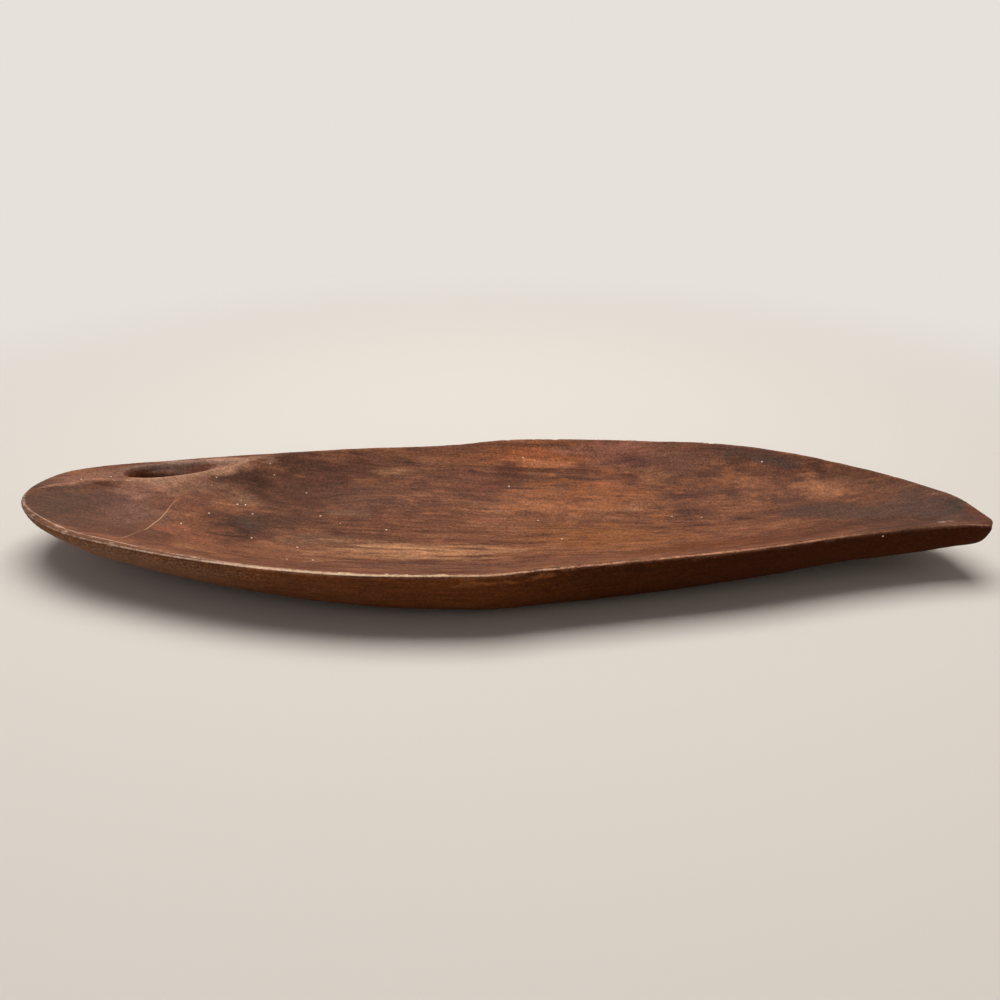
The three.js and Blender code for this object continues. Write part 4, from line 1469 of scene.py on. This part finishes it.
    def wear_lip(self, moved: np.ndarray, size: dict[str, np.ndarray]) -> None:
        """Lets the lip rise, fall and wander a little along its length.

        Args:
            moved: The vertices, which are moved further.
            size: What was measured.
        """
        reach = self.lip_wave_reach
        in_dish, under_lip = np.maximum(size["in"], 0), np.minimum(size["over"], 0)
        near_lip = np.exp(-((in_dish / reach) ** 2)) * np.exp(-((under_lip / reach) ** 2))
        line = self.lip[size["nearest"]]
        period = (self.lip_wave_size,) * 3
        swell = ripple(line, period, 2)
        moved[:, 2] += near_lip * self.lip_wave * np.minimum(swell, 0.35)
        wander = np.abs(ripple(line + 500, period, 2))
        moved += self.lip_inward[size["nearest"]] * (near_lip * self.lip_wave * 0.8 * wander)[:, None]

    def raise_ridge(self, moved: np.ndarray, size: dict[str, np.ndarray], outside: np.ndarray) -> None:
        """Raises the low ridge where the flat rounded end meets the dish, with a hollow below it.

        Args:
            moved: The vertices, which are moved further.
            size: What was measured.
            outside: Which vertices are on the outer band or the belly.
        """
        across, run = beside_path(size["places"], self.ridge)
        last = len(self.ridge) - 1
        ends = ease(0, 0.12 * last, run) * ease(last, 0.75 * last, run) * ~outside
        deepest, end = self.ridge_hollow_reach
        rise = self.ridge_height * np.exp(-((across / self.ridge_half) ** 2))
        sunk = self.ridge_hollow * ease(0, deepest, across) * ease(end, deepest, across)
        moved[:, 2] += (rise - sunk) * ends * ease(0.5, 7, size["in"])

    def fill_nose(self, moved: np.ndarray, size: dict[str, np.ndarray]) -> None:
        """Makes the nose a little fuller on the far side and below the lip.

        Args:
            moved: The vertices, which are moved further.
            size: What was measured.
        """
        start, full = self.nose_span
        # it fades out again over the last few millimetres, and towards the near side
        fuller = ease(start, full, moved[:, 0]) * ease(full + 11, full + 4, moved[:, 0])
        moved[:, 1] += fuller * ease(-16, -8, moved[:, 1]) * self.nose_bulge
        chin = ease(start - 2, full, moved[:, 0]) * ease(-0.5, -5, size["over"])
        moved[:, 0] += chin * self.nose_chin

    def outer_places(self, size: dict[str, np.ndarray]) -> np.ndarray:
        """Says which vertices are on the outer band or the belly.

        Args:
            size: What was measured.

        Returns:
            One truth value for each vertex.
        """
        # they face down, or they are below the lip, near the outline, and face out
        facing = np.einsum("ij,ij->i", size["normals"], self.lip_inward[size["nearest"]])
        under = size["normals"][:, 2] < -0.25
        return under | ((size["in"] < 6) & (size["over"] < -0.7) & (facing < -0.1))

    def roughness_share(self, places: np.ndarray, inset: np.ndarray, over: np.ndarray) -> np.ndarray:
        """Says how rough the outer band is left.

        Args:
            places: The vertices.
            inset: Their distance in from the lip.
            over: Their height over it.

        Returns:
            0 for dressed wood, 1 for rough.
        """
        # it sets in at the rounded end and dies away slowly towards the middle
        along = ease(self.rough_from - 12, self.rough_from + 12, places[:, 0])
        along *= ease(self.rough_to + 45, self.rough_to - 25, places[:, 0])
        # it goes from just under the lip down to the foot of the outer band
        band = ease(-0.3, -1.6, over) * ease(-11.5, -8.5, over) * (inset < 6)
        return along * band * (places[:, 1] < 0)

    def beside_scratch(self, places: np.ndarray) -> tuple[np.ndarray, np.ndarray]:
        """Measures how far across the scratch each place lies, with a sign, and how bright it is there."""
        across, run = beside_path(places, self.scratch)
        return across, np.interp(run, range(len(self.scratch)), self.scratch_shine)

    def all_nicks(self) -> list[Nick]:
        """Scatters small nicks along the lip, most of them on the near side right of the middle.

        Returns:
            Those that the photograph shows, and the small ones.
        """
        chance = random.Random(11)
        every = list(self.nicks)
        for _ in range(self.small_nicks):
            along = chance.uniform(0, 110) if chance.random() < 0.45 else chance.uniform(-290, 310)
            side = Side.NEAR if chance.random() < 0.75 else Side.FAR
            half = chance.uniform(0.9, 2.6)
            depth = chance.uniform(0.15, 0.45)
            every.append(Nick(side, along, half, depth, chance.uniform(0, 1.5)))
        return every

    def cut_nicks(self, places: np.ndarray) -> None:
        """Cuts the nicks out of the lip.

        Args:
            places: The vertices, which are moved.
        """
        near = self.near_side(self.lip)
        for nick in self.all_nicks():
            choice = np.flatnonzero(near if nick.side is Side.NEAR else ~near)
            index = choice[np.abs(self.lip[choice, 0] - nick.along).argmin()]
            inward = self.lip_inward[index]
            centre = self.lip[index] + (0, 0, 0.8 - nick.below)
            tangent = np.array((inward[1], -inward[0], 0))
            gap = places - centre
            close = np.abs(gap).max(1) < nick.half + 4
            gap = gap[close]
            s = gap @ tangent
            beside = np.linalg.norm(gap - s[:, None] * tangent, axis=1)
            share = np.clip(1 - (s / nick.half) ** 2, 0, 1)
            share *= np.clip(1 - (beside / self.nick_reach) ** 2, 0, 1)
            # a nick in the edge also goes down, and one further below it only goes in
            down = 0.65 if nick.below < 1.8 else 0.0
            places[close] += (inward * 0.75 - np.array((0, 0, down))) * (share * nick.depth)[:, None]

    def near_side(self, places: np.ndarray) -> np.ndarray:
        """Says which places are on the side of the tray that is nearer the camera."""
        return places[:, 1] < np.interp(places[:, 0], (-350, 350), self.lip_near)

    def lip_lines(self, size: dict[str, np.ndarray], outside: np.ndarray) -> dict[Mark, np.ndarray]:
        """Works out where the lip's two bright lines lie, and how bright: worn wood with a painted
        highlight.

        Args:
            size: What was measured.
            outside: Which vertices are on the outer band or the belly.

        Returns:
            Values for each vertex.
        """
        inset, over = size["in"], size["over"]
        line = self.lip[size["nearest"]]
        along = line[:, 0]
        near = ease(3, -3, line[:, 1] - np.interp(along, (-350, 350), self.lip_near))
        # the way from the outer side over the edge and into the dish, with 0 on the edge
        on_edge = (np.abs(inset) < 2.2) & (over > -1.6)
        run = np.where(on_edge, inset + over, np.where(outside, over, inset))
        width = along_curve(along, self.lip_widths)
        places, centres, halves = np.array(self.line_place).T
        off = (run - np.interp(along, places, centres)) / np.interp(along, places, halves)
        # dirt starts 2 to 3 mm in from the edge, broad towards the tip and narrow beside the bright line
        grime = along_curve(along, self.tip_grime) * ease(2, 3.5, inset) * ease(13, 5, inset)
        grime += along_curve(along, self.line_grime) * ease(2.6, 3.3, inset) * ease(5.6, 4.2, inset)
        return {
            Mark.LIP_OUTER: np.clip(off, -30, 30),
            Mark.LIP_INNER: np.clip(run - width, -30, 30),
            Mark.GRIME: grime * near * ~outside,
            Mark.LIP_SHINE: along_curve(along, self.outer_shine) * near,
            Mark.LIP_INNER_SHINE: along_curve(along, self.inner_shine) * near,
            Mark.LIP_BROKEN: along_curve(along, self.broken_line),
        }

    def mark(self, piece: bpy.types.Object, wood: OiledHardwood) -> None:
        """Keeps on each vertex what the finish reads.

        Args:
            piece: The finished shape.
            wood: The finish.
        """
        size = self.measure(piece)
        places, normals, inset, over = size["places"], size["normals"], size["in"], size["over"]
        count = len(places)
        pairs = np.empty(len(piece.data.edges) * 2, np.int32)
        piece.data.edges.foreach_get("vertices", pairs)
        a, b = pairs.reshape(-1, 2).T
        touching = np.bincount(a, minlength=count) + np.bincount(b, minlength=count)

        def average(values: np.ndarray, steps: int) -> np.ndarray:
            """Evens out values between vertices that touch.

            Args:
                values: One value for each vertex.
                steps: How often.

            Returns:
                The evened values.
            """
            for _ in range(steps):
                total = np.bincount(a, values[b], count) + np.bincount(b, values[a], count)
                values = (values + total / touching) / 2
            return values

        # how sharply the surface bends outwards at each vertex
        gap = places[b] - places[a]
        reach = np.einsum("ij,ij->i", gap, gap)
        bend_a = -np.einsum("ij,ij->i", gap, normals[a]) / reach
        bend_b = np.einsum("ij,ij->i", gap, normals[b]) / reach
        bend = (np.bincount(a, bend_a, count) + np.bincount(b, bend_b, count)) * 2 / touching
        outer = self.outer_places(size)
        outside = average(outer.astype(float), 1)
        # the edges of the slot's crest are rubbed most, and the others on the far side least
        crest = ease(-298, -280, places[:, 0]) * ease(-196, -210, places[:, 0]) * ease(24, 32, places[:, 1])
        rubbed = np.where(self.near_side(places), 0.5, 0.3 + 0.7 * crest)
        across, shine = self.beside_scratch(places)
        values = {
            Mark.OUTSIDE: outside,
            Mark.WORN: ease(0.1, 0.5, average(bend, 2)) * rubbed,
            Mark.ROUGH: average(self.roughness_share(places, inset, over), 1),
            Mark.SCRATCH: np.clip(across, -30, 30),
            Mark.SCRATCH_RUN: shine * (1 - outside),
            **self.lip_lines(size, outer),
            **wood.stains(places, outside),
        }
        for name, value in values.items():
            kind, part = ("FLOAT_COLOR", "color") if value.ndim == 2 else ("FLOAT", "value")
            kept = piece.data.attributes.new(name.value, kind, "POINT")
            kept.data.foreach_set(part, value.astype(np.float32).ravel())


@dataclass
class PaintSpecks:
    """Specks of old paint, spattered over the dish and dried.

    Attributes:
        name: The piece's name.
        places: Where the photograph shows them.
        radius: Radius of a middling speck.
        height: Its height above its middle.
        sunk: How much of that height lies in the wood.
    """

    name: str = "paint_specks"
    places: tuple[Point, ...] = (
        (-185.0, 59.7, 41.4), (-180.1, 52.4, 34.8), (-220.9, 37.5, 39.5), (-222.8, 30.7, 35.9),
        (-198.7, 24.5, 26.3), (-200.2, 19.6, 25.3), (-194.4, 20.5, 24.4), (-216.5, 4.2, 26.0),
        (-186.4, 11.9, 21.5), (-152.2, 41.7, 24.6), (-298.7, 25.9, 44.2), (-135.9, 18.5, 17.1),
        (-119.0, 10.8, 15.4), (-82.2, 4.7, 14.2), (-177.0, -18.9, 19.4), (-141.4, -25.9, 16.7),
        (-141.9, -48.2, 20.9), (19.9, 83.5, 39.4), (9.1, 59.3, 24.9), (7.0, 25.1, 14.7), (50.7, -0.9, 13.5),
        (32.8, 23.9, 14.2), (137.0, 31.3, 16.1), (159.2, 28.9, 17.3), (214.1, 78.1, 42.2),
        (266.4, -33.2, 41.0), (-229.1, -15.8, 28.2), (-319.7, 21.0, 43.7), (-124.3, -46.3, 19.4),
    )
    radius: float = 0.6
    height: float = 0.24
    sunk: float = 0.3

    def build(self, ground: bpy.types.Object) -> bpy.types.Object:
        """Models one speck, and sets copies of it on the wood.

        Args:
            ground: The tray that they lie on.

        Returns:
            One piece with every speck in it.
        """
        speck = self.one_speck()
        tree = BVHTree.FromObject(ground, bpy.context.evaluated_depsgraph_get())
        chance = random.Random(3)
        copies = []
        for place in self.places:
            on, normal, _, _ = tree.find_nearest(Vector(place) * MM)
            copy = speck.copy()
            copy.data = speck.data.copy()
            bpy.context.scene.collection.objects.link(copy)
            size = chance.uniform(0.6, 1.25)
            copy.scale = (size * chance.uniform(0.9, 1.5), size, 1.0)
            copy.rotation_mode = "QUATERNION"
            copy.rotation_quaternion = normal.to_track_quat("Z", "Y")
            copy.location = on - normal * self.height * self.sunk * MM
            copies.append(copy)
        bpy.data.objects.remove(speck)
        bpy.ops.object.select_all(action="DESELECT")
        for copy in copies:
            copy.select_set(True)
        bpy.context.view_layer.objects.active = copies[0]
        bpy.ops.object.transform_apply(location=True, rotation=True, scale=True)
        bpy.ops.object.join()
        piece = bpy.context.view_layer.objects.active
        piece.name = piece.data.name = self.name
        bpy.ops.object.shade_smooth()
        piece.data.materials.append(PaintSpeck().build())
        return piece

    def one_speck(self) -> bpy.types.Object:
        """Shapes one flat drop from a small ball.

        Returns:
            The drop, lying on the origin.
        """
        bpy.ops.object.select_all(action="DESELECT")
        bpy.ops.mesh.primitive_ico_sphere_add(subdivisions=2, radius=self.radius * MM)
        speck = bpy.context.view_layer.objects.active
        bpy.ops.object.mode_set(mode="EDIT")
        bpy.ops.mesh.select_all(action="SELECT")
        bpy.ops.transform.resize(value=(1, 1, self.height / self.radius))
        bpy.ops.mesh.select_all(action="SELECT")
        bpy.ops.mesh.bisect(
            plane_co=(0, 0, -self.sunk * self.height * MM),
            plane_no=(0, 0, 1),
            use_fill=True,
            clear_inner=True,
            threshold=1e-7,
        )
        bpy.ops.object.mode_set(mode="OBJECT")
        return speck


@dataclass(frozen=True)
class Lamp:
    """One soft rectangular lamp.

    Attributes:
        name: What it is called.
        place: Where it hangs.
        target: What it points at.
        size: Its width and depth.
        watts: Its power.
        colour: Its colour.
    """

    name: str
    place: Point
    target: Point
    size: tuple[float, float]
    watts: float
    colour: str

    def hang(self) -> None:
        """Puts the lamp in the scene."""
        lamp = bpy.data.lights.new(self.name, "AREA")
        lamp.shape = "RECTANGLE"
        lamp.size, lamp.size_y = (s * MM for s in self.size)
        lamp.energy = self.watts
        lamp.color = linear(self.colour)[:3]
        holder = bpy.data.objects.new(self.name, lamp)
        bpy.context.scene.collection.objects.link(holder)
        place = Vector(self.place)
        holder.location = place * MM
        holder.rotation_euler = (Vector(self.target) - place).to_track_quat("-Z", "Y").to_euler()


@dataclass
class Studio:
    """Pale floor that sweeps up behind the tray, soft lamps and the camera.

    Attributes:
        floor_width: Width of the floor and of the wall.
        floor_front: Where the floor starts, in front of the tray.
        floor_back: Where its flat part ends, behind the tray.
        sweep: Radius of the curve between the floor and the wall.
        wall: Height of the wall above that curve.
        lamps: The lamps.
        room_light: How much light the room itself gives.
        camera_place: Where the camera stands.
        camera_tilt: How far it is tilted up from looking straight down, in degrees.
        camera_turn: How far it is turned to the left, in degrees.
        focal: Its focal length, on a sensor 36 mm wide.
    """

    floor_width: float = 9000.0
    floor_front: float = -4200.0
    floor_back: float = 2600.0
    sweep: float = 900.0
    wall: float = 2600.0
    lamps: tuple[Lamp, ...] = (
        Lamp("overhead_softbox", (-60, 420, 1500), (0, 0, 20), (1500, 900), 24.9, "#FFFAF4"),
        Lamp("left_fill", (-1300, -500, 700), (-150, 0, 20), (900, 900), 1.0, "#E6ECFF"),
        Lamp("right_fill", (1300, -300, 600), (200, 0, 20), (800, 800), 1.0, "#FFE6CC"),
    )
    room_light: float = 0.155
    camera_place: Point = (24.7, -475.83, 306.59)
    camera_tilt: float = 61.2
    camera_turn: float = 2.448
    focal: float = 26.82

    def build(self) -> None:
        """Sets up the floor, the lamps, the world and the camera."""
        self.lay_floor()
        for lamp in self.lamps:
            lamp.hang()
        self.light_room()
        self.set_camera()
        bpy.context.scene.view_settings.view_transform = "Standard"

    def light_room(self) -> None:
        """Makes a world that gives little light, but is seen as pale as the far floor."""
        world = bpy.data.worlds.new("soft_room")
        bpy.context.scene.world = world
        sheet = NodeSheet(world)
        add = sheet.add
        strength = add("ShaderNodeMapRange", {"To Min": self.room_light}, {"Value": sheet.seen_rays()})
        colour = linear(PaleFloor().far_colour)
        sky = add("ShaderNodeBackground", {"Color": colour}, {"Strength": strength})
        add("ShaderNodeOutputWorld", {}, {"Surface": sky})

    def lay_floor(self) -> None:
        """Makes the floor and the wall behind it as one swept sheet."""
        bpy.ops.object.select_all(action="DESELECT")
        bpy.ops.mesh.primitive_plane_add(size=1)
        floor = bpy.context.view_layer.objects.active
        floor.name = "floor"
        depth = (self.floor_back - self.floor_front) * MM
        floor.scale = (self.floor_width * MM, depth, 1)
        floor.location.y = (self.floor_back + self.floor_front) / 2 * MM
        bpy.ops.object.transform_apply(location=True, rotation=True, scale=True)
        bpy.ops.object.mode_set(mode="EDIT")
        bpy.ops.mesh.select_all(action="DESELECT")
        bpy.ops.object.mode_set(mode="OBJECT")
        back = max(v.co.y for v in floor.data.vertices)
        for edge in floor.data.edges:
            edge.select = all(floor.data.vertices[i].co.y > back - 1e-4 for i in edge.vertices)
        bpy.ops.object.mode_set(mode="EDIT")
        bpy.ops.mesh.select_mode(type="EDGE")
        # a narrow strip on either side of the sweep keeps its smooth shading off the flat parts
        strip = 0.02
        bpy.ops.mesh.extrude_region_move(TRANSFORM_OT_translate={"value": (0, strip, 0)})
        centre = (0, back + strip, self.sweep * MM)
        bpy.ops.mesh.spin(steps=24, angle=math.radians(-90), center=centre, axis=(1, 0, 0))
        bpy.ops.mesh.extrude_region_move(TRANSFORM_OT_translate={"value": (0, 0, strip)})
        bpy.ops.mesh.extrude_region_move(TRANSFORM_OT_translate={"value": (0, 0, self.wall * MM)})
        bpy.ops.object.mode_set(mode="OBJECT")
        bpy.ops.object.shade_smooth()
        floor.data.materials.append(PaleFloor().build())

    def set_camera(self) -> None:
        """Puts the camera where the photograph was taken from."""
        lens = bpy.data.cameras.new("camera")
        lens.sensor_width = 36.0
        lens.lens = self.focal
        lens.clip_start = 0.01
        camera = bpy.data.objects.new("camera", lens)
        bpy.context.scene.collection.objects.link(camera)
        camera.location = Vector(self.camera_place) * MM
        camera.rotation_euler = (math.radians(self.camera_tilt), 0, math.radians(self.camera_turn))
        bpy.context.scene.camera = camera


def report(piece: bpy.types.Object) -> None:
    """Logs a finished piece's name, triangles and size."""
    triangles = sum(len(p.vertices) - 2 for p in piece.data.polygons)
    log.info("%s: %d triangles, %s mm", piece.name, triangles, [round(d / MM, 1) for d in piece.dimensions])


def main() -> None:
    """Builds the tray, its specks of paint and the studio, in that order."""
    logging.basicConfig(level=logging.INFO, format="%(message)s")
    tray = TrayBody().build()
    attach(tray, "root")
    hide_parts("tray")
    report(tray)
    specks = PaintSpecks().build(tray)
    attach(specks, "root")
    report(specks)
    Studio().build()


if __name__ == "__main__":
    main()
